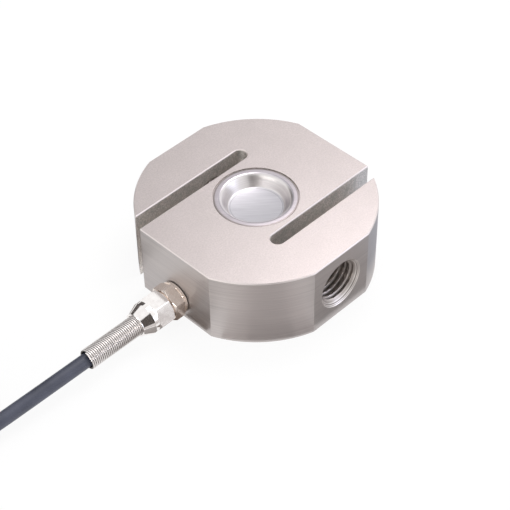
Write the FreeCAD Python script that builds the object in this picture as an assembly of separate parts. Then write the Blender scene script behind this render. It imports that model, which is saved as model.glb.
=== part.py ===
import FreeCAD, Part
import math
import os
from FreeCAD import Placement, Rotation, Vector

# Round S type load cell with a screwed cable gland and a coiled cable.
#
# The body is one thick disc with four flats, slotted from both sides so that a
# central beam is left between two half-round yokes. Load comes in through two
# threaded holes, one in each yoke, and shears a thin web between two round
# pockets. The strain gauges sit on that web, behind pressed sealing cups.
#
# Millimetres. +Z is up, through the thickness; the body lies on its bottom face
# at z = 0, with its centre on the Z axis. The load axis is along Y, the slots and
# the cable gland are along X.

# --- body ---------------------------------------------------------------------
BODY_DIAMETER = 100.0
BODY_THICKNESS = 33.5
SLOT_FLATS_APART = 92.0       # between the flats that the slots and the gland are in
LOAD_FLATS_APART = 95.0       # between the flats that the threaded holes are in
EDGE_BREAK = 0.4
SLOT_WIDTH = 6.3
SLOT_OFFSET = 20.2            # from the centre line to a slot's near wall
SLOT_REACH = 15.7             # how far a slot's closed end lies past the centre
SLOT_SHIFT = 1.2              # both closed ends lie this much further towards +X
THREAD_DIAMETER = 20.0        # M20 x 2.5, cut at its root diameter
COUNTERSINK_DEPTH = 1.3       # 45 degrees, at the mouth of each threaded hole
WEB_THICKNESS = 7.0
POCKET_DIAMETER = 31.2
FIT = 0.1                     # clearance all round a part that sits in another
BOND = 0.05                   # bond line under gauges and boards

# --- sealing cups ---------------------------------------------------------------
CUP_SHEET = 0.6
CUP_FLANGE = 2.1              # how far the flange reaches out over the pocket's ledge
CUP_GROOVE = 0.25             # weld groove round the flange
CUP_BELOW_FACE = 0.15
CUP_CLEARANCE = 0.4           # between the cup's wall and the pocket, at the mouth
CUP_DRAW_IN = 2.9             # how much narrower the cup is at its floor, each side
CUP_DEPTH = 5.6
CUP_BEND = 0.5                # inside bend radius of the pressed sheet

# --- measuring bridge on the web --------------------------------------------------
GAUGE_LENGTH = 9.0
GAUGE_WIDTH = 6.0
GAUGE_THICKNESS = 0.15
GAUGE_TURN = 45.0             # the grids lie along the shear directions
BOARD_LENGTH = 12.0
BOARD_WIDTH = 5.0
BOARD_THICKNESS = 0.8
BOARD_OFFSET = 10.0           # from the centre of the web to the middle of a board
TRIM_LENGTH = 2.0
TRIM_WIDTH = 1.2
TRIM_HEIGHT = 0.6
TRIM_ROWS_APART = 2.4
TRIM_COLUMNS_APART = 8.6
BRIDGE_WIRE = 0.5
BRIDGE_WIRES = 3
BRIDGE_WIRE_SPACING = 1.1
BRIDGE_WIRE_RISE = 1.0        # how far a through wire rises off its board
WEB_HOLE_DIAMETER = 5.0
WEB_HOLE_OFFSET = 12.0

# --- cable gland, stations measured outwards from the flat ---------------------------
GLAND_HEIGHT = 9.3            # gland axis above the bottom face
SPIGOT_DIAMETER = 10.0
SPIGOT_LENGTH = 7.0
PORT_RUN_OUT = 1.0            # thread run-out past the spigot
PASSAGE_DIAMETER = 4.4        # drilled way from the port to the lower pocket
GASKET_THICKNESS = 0.4
GASKET_DIAMETER = 13.6
COLLAR_DIAMETER = 14.4
COLLAR_LENGTH = 1.7
GLAND_FLATS = 14.0            # across flats, base and nut
BASE_CORNERS = 16.0           # the corners of the base are turned to this diameter
BASE_HEX_LENGTH = 4.8
BASE_TURN = -1.0              # degrees from a corner pointing straight up
NECK_DIAMETER = 12.0
NECK_LENGTH = 7.0
GLAND_GAP = 0.7               # left between base and nut when tight
NUT_CORNERS = 15.7
NUT_HEX_LENGTH = 8.0
NUT_TURN = 25.5
CORNER_CHAMFER = 0.6          # axial length of the chamfer on the hexagon corners
NUT_SHOULDER_DIAMETER = 14.1
NUT_SHOULDER_LENGTH = 1.8
NUT_CONE_LENGTH = 4.6
NUT_NOSE_DIAMETER = 10.4
NUT_NOSE_LENGTH = 0.4
NUT_WALL = 1.1                # between the thrust ring and the spring
SEAL_DIAMETER = 9.0
SEAL_LENGTH = 5.6
THRUST_THICKNESS = 1.0
THRUST_PROUD = 0.7            # how far the thrust ring stands out of the neck
SPRING_DIAMETER = 8.6
SPRING_WIRE = 0.9
SPRING_PITCH = 0.93
SPRING_TURNS = 35

# --- cable ---------------------------------------------------------------------------
CABLE_DIAMETER = 6.0
CABLE_CLEARANCE = 0.3         # round the cable in the gland
JACKET_STATION = 4.0          # where the jacket ends inside the gland base
CORE_DIAMETER = 1.3
CORE_CIRCLE = 1.9             # diameter of the circle that the four cores lie on
CORE_LANDINGS = (0.8, 2.4)    # half the distances between the cores on the lower board
CORE_LAP = 1.1                # of a core onto the board, and of its straight part into the pocket

# The free run, out of the spring and down to the coil that holds the rest.
CABLE_ROUTE = [
    Vector(-50.0, 0.0, 9.3),
    Vector(-98.0, 0.0, 9.3),
    Vector(-146.0, 2.4, 6.2),
    Vector(-184.1, 6.2, 3.9),
]
ARC_SHARE = 0.45              # of the shorter run beside it, taken by an arc
COIL_X = -180.0
COIL_Y = 49.5
COIL_INNER_TURN = 24.0        # radius of the innermost turn
COIL_OUTER_TURN = 43.5
COIL_SLACK = 0.5              # how much the turns wander
COIL_LAYERS = 4
TIE_WIDTH = 4.0
TIE_THICKNESS = 0.9
TIE_HEAD_LENGTH = 6.0
TIE_HEAD_WIDTH = 5.0
TIE_HEAD_HEIGHT = 4.0
TIE_ANGLES = (95.0, -35.0)    # where the two ties hold the coil

# The end of the cable lies on the coil. Angles run clockwise round the coil.
TAIL_RADIUS = 40.0
TAIL_START = -115.0
TAIL_END = -160.0
SLEEVE_DIAMETER = 7.0
SLEEVE_START = -153.0
SLEEVE_END = -180.0
LEAD_CIRCLE = 2.3             # diameter of the circle that the leads start on
LEAD_DOWN = -202.0            # where the leads have come down onto the coil
LEAD_END = -232.0
LEAD_SPACING = 2.6
TIP_DIAMETER = 0.8
TIP_LENGTH = 5.0
LEAD_NAMES = ("lead_white", "lead_green", "lead_shield", "lead_black", "lead_red")
LEAD_PLACES = (162.0, 234.0, 90.0, 306.0, 18.0)   # degrees round the lead circle

# --- values that follow -----------------------------------------------------------------
ORIGIN = Vector(0, 0, 0)
UP = Vector(0, 0, 1)
BODY_RADIUS = BODY_DIAMETER / 2
SLOT_FLAT = SLOT_FLATS_APART / 2
LOAD_FLAT = LOAD_FLATS_APART / 2
MIDDLE = BODY_THICKNESS / 2
WEB_TOP = MIDDLE + WEB_THICKNESS / 2
BOARD_FACE = WEB_TOP + BOND + BOARD_THICKNESS
GAUGE_FACE = WEB_TOP + BOND + GAUGE_THICKNESS
POCKET_RADIUS = POCKET_DIAMETER / 2
CUP_RADIUS = POCKET_RADIUS + CUP_FLANGE
CUP_MOUTH_RADIUS = POCKET_RADIUS - CUP_CLEARANCE - CUP_SHEET
CUP_FLOOR_RADIUS = CUP_MOUTH_RADIUS - CUP_DRAW_IN
COLLAR_END = GASKET_THICKNESS + COLLAR_LENGTH
BASE_HEX_END = COLLAR_END + BASE_HEX_LENGTH
NECK_END = BASE_HEX_END + NECK_LENGTH
THRUST_END = NECK_END + THRUST_PROUD
SEAL_START = THRUST_END - THRUST_THICKNESS - SEAL_LENGTH
NUT_START = BASE_HEX_END + GLAND_GAP
NUT_HEX_END = NUT_START + NUT_HEX_LENGTH
NUT_SHOULDER_END = NUT_HEX_END + NUT_SHOULDER_LENGTH
NUT_CONE_END = NUT_SHOULDER_END + NUT_CONE_LENGTH
NUT_END = NUT_CONE_END + NUT_NOSE_LENGTH
SPRING_START = THRUST_END + NUT_WALL
CABLE_RADIUS = CABLE_DIAMETER / 2
CABLE_BORE = CABLE_RADIUS + CABLE_CLEARANCE
CORE_RADIUS = CORE_DIAMETER / 2
COIL_CENTRE = Vector(COIL_X, COIL_Y, 0)
COIL_TOP = TIE_THICKNESS + COIL_LAYERS * CABLE_DIAMETER
TAIL_HEIGHT = COIL_TOP + SLEEVE_DIAMETER / 2


# --- shapes that several pieces share -----------------------------------------------------
def unit(vector):
    return Vector(vector).normalize()


def outline(corners):
    """A closed wire in the XZ plane. Each corner is (x, z) or (x, z, rounding radius)."""
    points = [Vector(corner[0], 0, corner[1]) for corner in corners]
    ends = []
    for i, corner in enumerate(corners):
        here = points[i]
        back = unit(points[i - 1] - here)
        ahead = unit(points[(i + 1) % len(points)] - here)
        if len(corner) == 2:
            ends.append((here, None, here))
            continue
        half_angle = back.getAngle(ahead) / 2
        reach = corner[2] / math.tan(half_angle)
        to_arc = corner[2] / math.sin(half_angle) - corner[2]
        ends.append((here + back * reach, here + unit(back + ahead) * to_arc, here + ahead * reach))
    edges = []
    for i, (start, middle, end) in enumerate(ends):
        if middle:
            edges.append(Part.Arc(start, middle, end).toShape())
        edges.append(Part.LineSegment(end, ends[(i + 1) % len(ends)][0]).toShape())
    return Part.Wire(edges)


def turned(corners):
    """A solid turned about the Z axis from a profile in the XZ plane."""
    return Part.Face(outline(corners)).revolve(ORIGIN, UP, 360)


def ring(outer_radius, inner_radius, low, high):
    return turned([(inner_radius, low), (outer_radius, low), (outer_radius, high), (inner_radius, high)])


def hexagon(across_flats, low, high, turn):
    """A six-sided prism with a corner at that angle from +X."""
    corner = across_flats / math.sqrt(3)
    angles = [math.radians(turn + 60 * k) for k in range(7)]
    points = [Vector(corner * math.cos(a), corner * math.sin(a), low) for a in angles]
    return Part.Face(Part.makePolygon(points)).extrude(UP * (high - low))


def block(length, width, height, centre, low):
    return Part.makeBox(length, width, height, centre + Vector(-length / 2, -width / 2, low))


def turned_about_z(shape, degrees):
    copy = shape.copy()
    copy.rotate(ORIGIN, UP, degrees)
    return copy


def both_faces(shape):
    """The piece for the upper face and its mirror image for the lower one."""
    return shape, shape.mirror(Vector(0, 0, MIDDLE), UP)


def on_gland_axis(shape):
    """Moves a piece modelled outwards along +Z onto the gland's axis, with +X turned up."""
    copy = shape.copy()
    to_gland = Rotation(UP, Vector(-1, 0, 0))
    copy.Placement = Placement(Vector(-SLOT_FLAT, 0, GLAND_HEIGHT), to_gland)
    return copy


def round_coil(degrees, radius, height):
    """A point at that angle and radius round the coil's centre."""
    angle = math.radians(degrees)
    return COIL_CENTRE + Vector(radius * math.cos(angle), radius * math.sin(angle), height)


def bent_path(points):
    """Straight runs joined by tangent arcs, each as large as the shorter run beside it allows."""
    edges = []
    radii = []
    start = points[0]
    for before, corner, after in zip(points, points[1:], points[2:]):
        back, ahead = before - corner, after - corner
        reach = ARC_SHARE * min(back.Length, ahead.Length)
        half_turn = (math.pi - back.getAngle(ahead)) / 2
        radius = reach / math.tan(half_turn)
        enter = corner + unit(back) * reach
        leave = corner + unit(ahead) * reach
        middle = corner + unit(unit(back) + unit(ahead)) * (radius / math.cos(half_turn) - radius)
        edges.append(Part.LineSegment(start, enter).toShape())
        edges.append(Part.Arc(enter, middle, leave).toShape())
        radii.append(round(radius, 1))
        start = leave
    edges.append(Part.LineSegment(start, points[-1]).toShape())
    return Part.Wire(edges), radii


def tube(path, radius):
    """A round solid along a path."""
    first = path.OrderedEdges[0]
    along = first.tangentAt(first.FirstParameter)
    section = Part.Circle(first.valueAt(first.FirstParameter), along, radius)
    return path.makePipeShell([Part.Wire(section.toShape())], True, False)


def fine_wire(points, radius):
    """A thin wire with mitred bends, six-sided because its roundness is too fine to see."""
    path = Part.makePolygon(points)
    along = unit(points[1] - points[0])
    across = unit(along.cross(Vector(0, 1, 0)))
    around = [Rotation(along, 60 * k).multVec(across) * radius + points[0] for k in range(7)]
    return path.makePipeShell([Part.makePolygon(around)], True, False, 1)


# --- body ----------------------------------------------------------------------------------
def slot(reach):
    """The slot on the +Y side: open at the -X flat, with a round closed end past the centre."""
    end = reach - SLOT_WIDTH / 2
    straight = Part.makeBox(
        BODY_RADIUS + end, SLOT_WIDTH, BODY_THICKNESS, Vector(-BODY_RADIUS, SLOT_OFFSET, 0)
    )
    centre = Vector(end, SLOT_OFFSET + SLOT_WIDTH / 2, 0)
    return straight.fuse(Part.makeCylinder(SLOT_WIDTH / 2, BODY_THICKNESS, centre))


def threaded_hole():
    """The hole in the -Y flat: countersunk, and drilled through into the slot behind it."""
    inward = Vector(0, 1, 0)
    mouth = Vector(0, -LOAD_FLAT, MIDDLE)
    depth = LOAD_FLAT - SLOT_OFFSET - SLOT_WIDTH / 2
    root = THREAD_DIAMETER / 2
    bore = Part.makeCylinder(root, depth, mouth, inward)
    countersink = Part.makeCone(root + COUNTERSINK_DEPTH, root, COUNTERSINK_DEPTH, mouth, inward)
    return bore.fuse(countersink)


def pocket():
    """The pocket above the web, with the ledge and the weld groove for its sealing cup."""
    well = Part.makeCylinder(POCKET_RADIUS, BODY_THICKNESS - WEB_TOP, Vector(0, 0, WEB_TOP))
    ledge_depth = CUP_BELOW_FACE + CUP_SHEET
    ledge = Part.makeCylinder(
        CUP_RADIUS + CUP_GROOVE, ledge_depth, Vector(0, 0, BODY_THICKNESS - ledge_depth)
    )
    return well.fuse(ledge)


def gland_port():
    """The threaded port for the gland's spigot and the way on to the lower pocket."""
    depth = SPIGOT_LENGTH + PORT_RUN_OUT
    port = Part.makeCylinder(SPIGOT_DIAMETER / 2 + FIT, depth, ORIGIN, Vector(0, 0, -1))
    passage = Part.makeCylinder(PASSAGE_DIAMETER / 2, SLOT_FLAT, ORIGIN, Vector(0, 0, -1))
    return on_gland_axis(port.fuse(passage))


def body():
    flats = block(SLOT_FLATS_APART, LOAD_FLATS_APART, BODY_THICKNESS, ORIGIN, 0)
    blank = Part.makeCylinder(BODY_RADIUS, BODY_THICKNESS).common(flats)
    far_slot = turned_about_z(slot(SLOT_REACH - SLOT_SHIFT), 180)
    blank = blank.cut([slot(SLOT_REACH + SLOT_SHIFT), far_slot])
    rims = [
        edge
        for edge in blank.Edges
        for height in (0, BODY_THICKNESS)
        if all(abs(vertex.Z - height) < BOND for vertex in edge.Vertexes)
    ]
    blank = blank.makeChamfer(EDGE_BREAK, rims)
    web_hole = Part.makeCylinder(
        WEB_HOLE_DIAMETER / 2, BODY_THICKNESS, Vector(WEB_HOLE_OFFSET, 0, 0)
    )
    holes = [threaded_hole(), turned_about_z(threaded_hole(), 180), gland_port(), web_hole]
    return blank.cut(holes + list(both_faces(pocket())))


# --- sealing cups -----------------------------------------------------------------------------
def sealing_cup():
    """The pressed cup in the upper face: a flat flange, a tapered wall and a flat floor."""
    flange = BODY_THICKNESS - CUP_BELOW_FACE
    floor = flange - CUP_DEPTH
    taper = math.atan2(CUP_DRAW_IN, CUP_DEPTH)
    wall_step = CUP_SHEET * (1 / math.cos(taper) - math.tan(taper))
    outer_bend = CUP_BEND + CUP_SHEET
    return turned([
        (CUP_RADIUS, flange - CUP_SHEET),
        (CUP_RADIUS, flange),
        (CUP_MOUTH_RADIUS, flange, outer_bend),
        (CUP_FLOOR_RADIUS, floor, CUP_BEND),
        (0, floor),
        (0, floor - CUP_SHEET),
        (CUP_FLOOR_RADIUS + wall_step, floor - CUP_SHEET, outer_bend),
        (CUP_MOUTH_RADIUS + wall_step, flange - CUP_SHEET, CUP_BEND),
    ])


# --- measuring bridge ----------------------------------------------------------------------------
def strain_gauge():
    """The foil rosette on the middle of the upper side of the web."""
    foil = block(GAUGE_LENGTH, GAUGE_WIDTH, GAUGE_THICKNESS, ORIGIN, WEB_TOP + BOND)
    return turned_about_z(foil, GAUGE_TURN)


def terminal_board():
    centre = Vector(-BOARD_OFFSET, 0, 0)
    return block(BOARD_WIDTH, BOARD_LENGTH, BOARD_THICKNESS, centre, WEB_TOP + BOND)


def trim_resistors():
    """Four small resistors near the ends of the upper board; they are used on the lower one."""
    chips = []
    for row in (-0.5, 0.5):
        for column in (-0.5, 0.5):
            centre = Vector(-BOARD_OFFSET + row * TRIM_ROWS_APART, column * TRIM_COLUMNS_APART, 0)
            chips.append(block(TRIM_WIDTH, TRIM_LENGTH, TRIM_HEIGHT, centre, BOARD_FACE))
    return Part.makeCompound(chips)


def wire_places():
    """Where the bridge wires lie across the web."""
    return [(k - (BRIDGE_WIRES - 1) / 2) * BRIDGE_WIRE_SPACING for k in range(BRIDGE_WIRES)]


def gauge_wires():
    """Wires from the upper gauge over to the near edge of the upper board."""
    radius = BRIDGE_WIRE / 2
    board_edge = -BOARD_OFFSET + BOARD_WIDTH / 2
    wires = []
    for y in wire_places():
        on_gauge = Vector(-GAUGE_WIDTH / 2, y, GAUGE_FACE + radius)
        over_edge = Vector(board_edge + BRIDGE_WIRE, y, BOARD_FACE + BRIDGE_WIRE)
        on_board = Vector(board_edge - BRIDGE_WIRE, y, BOARD_FACE + radius)
        wires.append(fine_wire([on_gauge, over_edge, on_board], radius))
    return Part.makeCompound(wires)


def through_wires():
    """Wires from the upper board, over the gauge and through the web hole to the lower board."""
    radius = BRIDGE_WIRE / 2
    board_x = -BOARD_OFFSET
    low = 2 * MIDDLE - BOARD_FACE
    rise = BRIDGE_WIRE_RISE + BRIDGE_WIRE
    wires = []
    for y in wire_places():
        wires.append(fine_wire([
            Vector(board_x, y, BOARD_FACE),
            Vector(board_x, y, BOARD_FACE + rise),
            Vector(WEB_HOLE_OFFSET, y, BOARD_FACE + rise),
            Vector(WEB_HOLE_OFFSET, y, low - rise),
            Vector(board_x, y, low - rise),
            Vector(board_x, y, low),
        ], radius))
    return Part.makeCompound(wires)


def core_wires():
    """The four cores from the jacket's end, through the passage and up to the lower board."""
    board_face = 2 * MIDDLE - BOARD_FACE
    board_edge = BOARD_OFFSET + BOARD_WIDTH / 2
    cores = []
    for side in (-1, 1):
        for above, landing in zip((1, -1), CORE_LANDINGS):
            y = side * CORE_CIRCLE / 2 * math.cos(math.radians(45))
            z = GLAND_HEIGHT + above * CORE_CIRCLE / 2 * math.sin(math.radians(45))
            cores.append(fine_wire([
                Vector(-SLOT_FLAT - JACKET_STATION, y, z),
                Vector(CORE_LAP - POCKET_RADIUS, y, z),
                Vector(CORE_LAP - board_edge, side * landing, board_face - CORE_RADIUS),
            ], CORE_RADIUS))
    return Part.makeCompound(cores)


# --- gland -------------------------------------------------------------------------------------------
def gland_gasket():
    return on_gland_axis(ring(GASKET_DIAMETER / 2, SPIGOT_DIAMETER / 2 + FIT, 0, GASKET_THICKNESS))


def gland_base():
    """Spigot, collar, hexagon and threaded neck, bored for the cable and its seal."""
    spigot = SPIGOT_DIAMETER / 2
    collar = COLLAR_DIAMETER / 2
    neck = NECK_DIAMETER / 2
    corners = BASE_CORNERS / 2
    blank = turned([
        (0, -SPIGOT_LENGTH), (spigot, -SPIGOT_LENGTH), (spigot, GASKET_THICKNESS),
        (collar, GASKET_THICKNESS), (collar, COLLAR_END), (neck, COLLAR_END),
        (neck, NECK_END), (0, NECK_END),
    ])
    chamfer_start = BASE_HEX_END - CORNER_CHAMFER
    corner_limit = turned([
        (0, GASKET_THICKNESS), (collar, GASKET_THICKNESS), (corners, COLLAR_END),
        (corners, chamfer_start), (GLAND_FLATS / 2, BASE_HEX_END), (0, BASE_HEX_END),
    ])
    hexagon_start = COLLAR_END - CORNER_CHAMFER
    flats = hexagon(GLAND_FLATS, hexagon_start, BASE_HEX_END, BASE_TURN).common(corner_limit)
    core_way = Part.makeCylinder(
        PASSAGE_DIAMETER / 2, SPIGOT_LENGTH + JACKET_STATION, Vector(0, 0, -SPIGOT_LENGTH)
    )
    cable_way = Part.makeCylinder(CABLE_BORE, NECK_END - JACKET_STATION, UP * JACKET_STATION)
    seal_way = Part.makeCylinder(SEAL_DIAMETER / 2 + FIT, NECK_END - SEAL_START, UP * SEAL_START)
    return on_gland_axis(blank.fuse(flats).cut([core_way, cable_way, seal_way]))


def cable_seal():
    return on_gland_axis(
        ring(SEAL_DIAMETER / 2, CABLE_RADIUS + BOND, SEAL_START, SEAL_START + SEAL_LENGTH)
    )


def thrust_ring():
    return on_gland_axis(
        ring(SEAL_DIAMETER / 2, CABLE_BORE, THRUST_END - THRUST_THICKNESS, THRUST_END)
    )


def gland_nut():
    """Hexagon, turned shoulder and cone, bored for the neck and for the spring."""
    across = GLAND_FLATS / 2
    corners = NUT_CORNERS / 2
    shoulder = NUT_SHOULDER_DIAMETER / 2
    nose = NUT_NOSE_DIAMETER / 2
    corner_limit = turned([
        (0, NUT_START), (across, NUT_START), (corners, NUT_START + CORNER_CHAMFER),
        (corners, NUT_HEX_END - CORNER_CHAMFER), (shoulder, NUT_HEX_END), (0, NUT_HEX_END),
    ])
    flats = hexagon(GLAND_FLATS, NUT_START, NUT_HEX_END, NUT_TURN).common(corner_limit)
    cone = turned([
        (0, NUT_HEX_END - CORNER_CHAMFER), (shoulder, NUT_HEX_END - CORNER_CHAMFER),
        (shoulder, NUT_SHOULDER_END, CORNER_CHAMFER), (nose, NUT_CONE_END),
        (nose, NUT_END), (0, NUT_END),
    ])
    neck_way = Part.makeCylinder(NECK_DIAMETER / 2 + FIT, THRUST_END - NUT_START, UP * NUT_START)
    cable_way = Part.makeCylinder(CABLE_BORE, NUT_END - NUT_START, UP * NUT_START)
    spring_way = Part.makeCylinder(
        SPRING_DIAMETER / 2 + FIT, NUT_END - SPRING_START, UP * SPRING_START
    )
    return on_gland_axis(flats.fuse(cone).cut([neck_way, cable_way, spring_way]))


def strain_relief_spring():
    """A close-wound spring, with every turn a ridge on one sleeve because the turns touch."""
    crest = SPRING_DIAMETER / 2
    valley = crest - SPRING_WIRE / 2
    profile = [(crest - SPRING_WIRE, SPRING_START), (valley, SPRING_START)]
    for turn in range(SPRING_TURNS):
        start = SPRING_START + turn * SPRING_PITCH
        profile.append((crest, start + SPRING_PITCH / 2))
        profile.append((valley, start + SPRING_PITCH))
    profile.append((crest - SPRING_WIRE, SPRING_START + SPRING_TURNS * SPRING_PITCH))
    return on_gland_axis(turned(profile))


# --- cable --------------------------------------------------------------------------------------------
def cable_coil():
    """The outer shape of the wound part of the cable."""
    inner = COIL_INNER_TURN - CABLE_RADIUS - COIL_SLACK
    outer = COIL_OUTER_TURN + CABLE_RADIUS + COIL_SLACK
    solid = turned([
        (inner, TIE_THICKNESS, CABLE_RADIUS), (outer, TIE_THICKNESS, CABLE_RADIUS),
        (outer, COIL_TOP, CABLE_RADIUS), (inner, COIL_TOP, CABLE_RADIUS),
    ])
    solid.translate(COIL_CENTRE)
    return solid


def cable():
    """The free run from the gland to the coil, ending where it meets the coil's side."""
    path, radii = bent_path(CABLE_ROUTE)
    run = tube(path, CABLE_RADIUS)
    expected = math.pi * CABLE_RADIUS ** 2 * path.Length
    print("cable bend radii", radii, "length", round(path.Length, 1))
    print("cable volume over section times length", round(run.Volume / expected, 4))
    return run.cut(cable_coil())


def coil_ties():
    """Two plastic ties round the coil, each a strap with a head on top."""
    inner = COIL_INNER_TURN - CABLE_RADIUS - COIL_SLACK - TIE_THICKNESS
    outer = COIL_OUTER_TURN + CABLE_RADIUS + COIL_SLACK + TIE_THICKNESS
    high = COIL_TOP + TIE_THICKNESS
    bend = CABLE_RADIUS + TIE_THICKNESS
    strap_outline = outline([
        (inner, 0, bend), (outer, 0, bend), (outer, high, bend), (inner, high, bend),
    ])
    coil = cable_coil()
    ties = []
    for angle in TIE_ANGLES:
        strap = Part.Face(strap_outline).extrude(Vector(0, TIE_WIDTH, 0))
        strap.translate(Vector(0, -TIE_WIDTH / 2, 0))
        head = block(
            TIE_HEAD_LENGTH, TIE_HEAD_WIDTH, TIE_HEAD_HEIGHT, Vector((inner + outer) / 2, 0, 0), COIL_TOP
        )
        tie = turned_about_z(strap.fuse(head), angle)
        tie.translate(COIL_CENTRE)
        ties.append(tie.cut(coil))
    return Part.makeCompound(ties)


def arc_round_coil(first, last, radius, height):
    """A path round the coil's centre, from one angle to another."""
    places = (first, (first + last) / 2, last)
    return Part.Wire(Part.Arc(*[round_coil(a, radius, height) for a in places]).toShape())


def cable_tail():
    """The last stretch of the cable, which lies on top of the coil."""
    return tube(arc_round_coil(TAIL_START, TAIL_END, TAIL_RADIUS, TAIL_HEIGHT), CABLE_RADIUS)


def free_lead(number):
    """One stripped core from the sleeve down onto the coil, with a tinned tip."""
    place = math.radians(LEAD_PLACES[number])
    start_radius = TAIL_RADIUS + LEAD_CIRCLE / 2 * math.cos(place)
    start_height = TAIL_HEIGHT + LEAD_CIRCLE / 2 * math.sin(place)
    rest_height = COIL_TOP + CORE_RADIUS
    rest_radius = TAIL_RADIUS + (number - (len(LEAD_NAMES) - 1) / 2) * LEAD_SPACING
    points = [
        round_coil(TAIL_END, start_radius, start_height),
        round_coil(SLEEVE_END, start_radius, start_height),
        round_coil(LEAD_DOWN, rest_radius, rest_height),
        round_coil(LEAD_END, rest_radius, rest_height),
    ]
    path, _ = bent_path(points)
    along = unit(points[-1] - points[-2])
    tip = Part.makeCylinder(TIP_DIAMETER / 2, TIP_LENGTH, points[-1], along)
    return tube(path, CORE_RADIUS).fuse(tip)


def cable_end_sleeve(tail, leads):
    """The shrunk sleeve over the jacket's end and the first stretch of the leads."""
    sleeve = tube(
        arc_round_coil(SLEEVE_START, SLEEVE_END, TAIL_RADIUS, TAIL_HEIGHT), SLEEVE_DIAMETER / 2
    )
    return sleeve.cut([tail] + leads)


# --- the whole cell ----------------------------------------------------------------------------------------
def pieces():
    upper_cup, lower_cup = both_faces(sealing_cup())
    upper_gauge, lower_gauge = both_faces(strain_gauge())
    upper_board, lower_board = both_faces(terminal_board())
    upper_gauge_wires, lower_gauge_wires = both_faces(gauge_wires())
    tail = cable_tail()
    leads = [free_lead(number).cut(tail) for number in range(len(LEAD_NAMES))]
    return {
        "body": body(),
        "upper_sealing_cup": upper_cup,
        "lower_sealing_cup": lower_cup,
        "upper_strain_gauge": upper_gauge,
        "lower_strain_gauge": lower_gauge,
        "upper_terminal_board": upper_board,
        "lower_terminal_board": lower_board,
        "trim_resistors": both_faces(trim_resistors())[1],
        "upper_gauge_wires": upper_gauge_wires,
        "lower_gauge_wires": lower_gauge_wires,
        "through_wires": through_wires(),
        "core_wires": core_wires(),
        "gland_gasket": gland_gasket(),
        "gland_base": gland_base(),
        "cable_seal": cable_seal(),
        "thrust_ring": thrust_ring(),
        "gland_nut": gland_nut(),
        "strain_relief_spring": strain_relief_spring(),
        "cable": cable(),
        "cable_coil": cable_coil(),
        "coil_ties": coil_ties(),
        "cable_tail": tail,
        "cable_end_sleeve": cable_end_sleeve(tail, leads),
        **dict(zip(LEAD_NAMES, leads)),
    }


def main():
    os.makedirs("parts", exist_ok=True)
    for name, shape in pieces().items():
        shape.exportStep(os.path.join("parts", name + ".step"))
        print(f"{name}: {len(shape.Solids)} solid(s), {shape.Volume:.1f} mm3, valid {shape.isValid()}")


main()
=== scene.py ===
"""Round S type load cell: finishes, threads, gland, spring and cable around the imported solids."""

import math

import bmesh
import bpy
import numpy as np
from bpy.props import (
    FloatProperty, FloatVectorProperty, IntProperty, PointerProperty, StringProperty)
from mathutils import Matrix, Vector


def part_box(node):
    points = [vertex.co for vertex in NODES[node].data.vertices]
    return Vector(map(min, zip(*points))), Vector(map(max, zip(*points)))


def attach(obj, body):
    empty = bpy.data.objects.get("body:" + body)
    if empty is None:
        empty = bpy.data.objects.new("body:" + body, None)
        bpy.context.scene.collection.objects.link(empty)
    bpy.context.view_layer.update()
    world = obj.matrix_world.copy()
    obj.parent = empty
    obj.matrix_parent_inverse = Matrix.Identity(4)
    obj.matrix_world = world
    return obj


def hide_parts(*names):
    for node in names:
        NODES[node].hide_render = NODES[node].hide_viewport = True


bl_info = {
    "name": "S type load cell",
    "version": (1, 0, 0),
    "blender": (4, 5, 0),
    "location": "3D View > Sidebar > Load Cell",
    "description": "Dresses a round S type load cell with its finishes, gland, spring and cable",
    "category": "Object",
}

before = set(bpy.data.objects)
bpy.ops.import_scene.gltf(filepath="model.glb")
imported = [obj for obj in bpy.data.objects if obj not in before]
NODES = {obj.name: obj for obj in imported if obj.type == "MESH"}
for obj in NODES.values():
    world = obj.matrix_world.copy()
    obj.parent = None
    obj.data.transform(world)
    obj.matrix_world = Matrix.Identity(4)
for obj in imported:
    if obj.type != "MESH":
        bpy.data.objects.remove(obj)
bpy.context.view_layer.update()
ROOT = "root"
MM = 0.001

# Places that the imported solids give.
BODY_LOW, BODY_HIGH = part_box("body")
NUT_LOW, NUT_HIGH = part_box("gland_nut")
SPRING_LOW, SPRING_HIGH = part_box("strain_relief_spring")
COIL_LOW, COIL_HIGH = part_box("cable_coil")
MIDDLE = (BODY_LOW.z + BODY_HIGH.z) / 2
CUP_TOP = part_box("upper_sealing_cup")[1].z
GLAND_FLAT_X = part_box("gland_gasket")[1].x
GLAND_AXIS_Z = (NUT_LOW.z + NUT_HIGH.z) / 2
COIL_CENTRE = (COIL_LOW + COIL_HIGH) / 2

# Points nearer to each other than this are one.
SAME_PLACE = 0.0001 * MM
# Points along the arc that rounds a corner, and half the angle past which a corner is no corner.
ARC_POINTS = 5
NEARLY_STRAIGHT = 1.56


# --- numbers into meshes -----------------------------------------------------------------
def grid_faces(rows, columns, close_u, close_v):
    """The four corners of each square of neighbours in a grid, as numbers of its points."""
    row = np.arange(rows if close_v else rows - 1)[:, None]
    column = np.arange(columns if close_u else columns - 1)[None, :]
    next_row, next_column = (row + 1) % rows, (column + 1) % columns
    corners = (
        row * columns + column,
        row * columns + next_column,
        next_row * columns + next_column,
        next_row * columns + column,
    )
    corners = [np.broadcast_to(c, (len(row), column.size)) for c in corners]
    return np.stack(corners, -1).reshape(-1, 4)


def surface(name, points, close_u=False, close_v=False):
    """A mesh from a grid of points, shape (rows, columns, 3). Each square of neighbours is one
    face; close_u joins the last column to the first and close_v the last row to the first."""
    return shells(name, [(points, close_u, close_v)])


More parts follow.
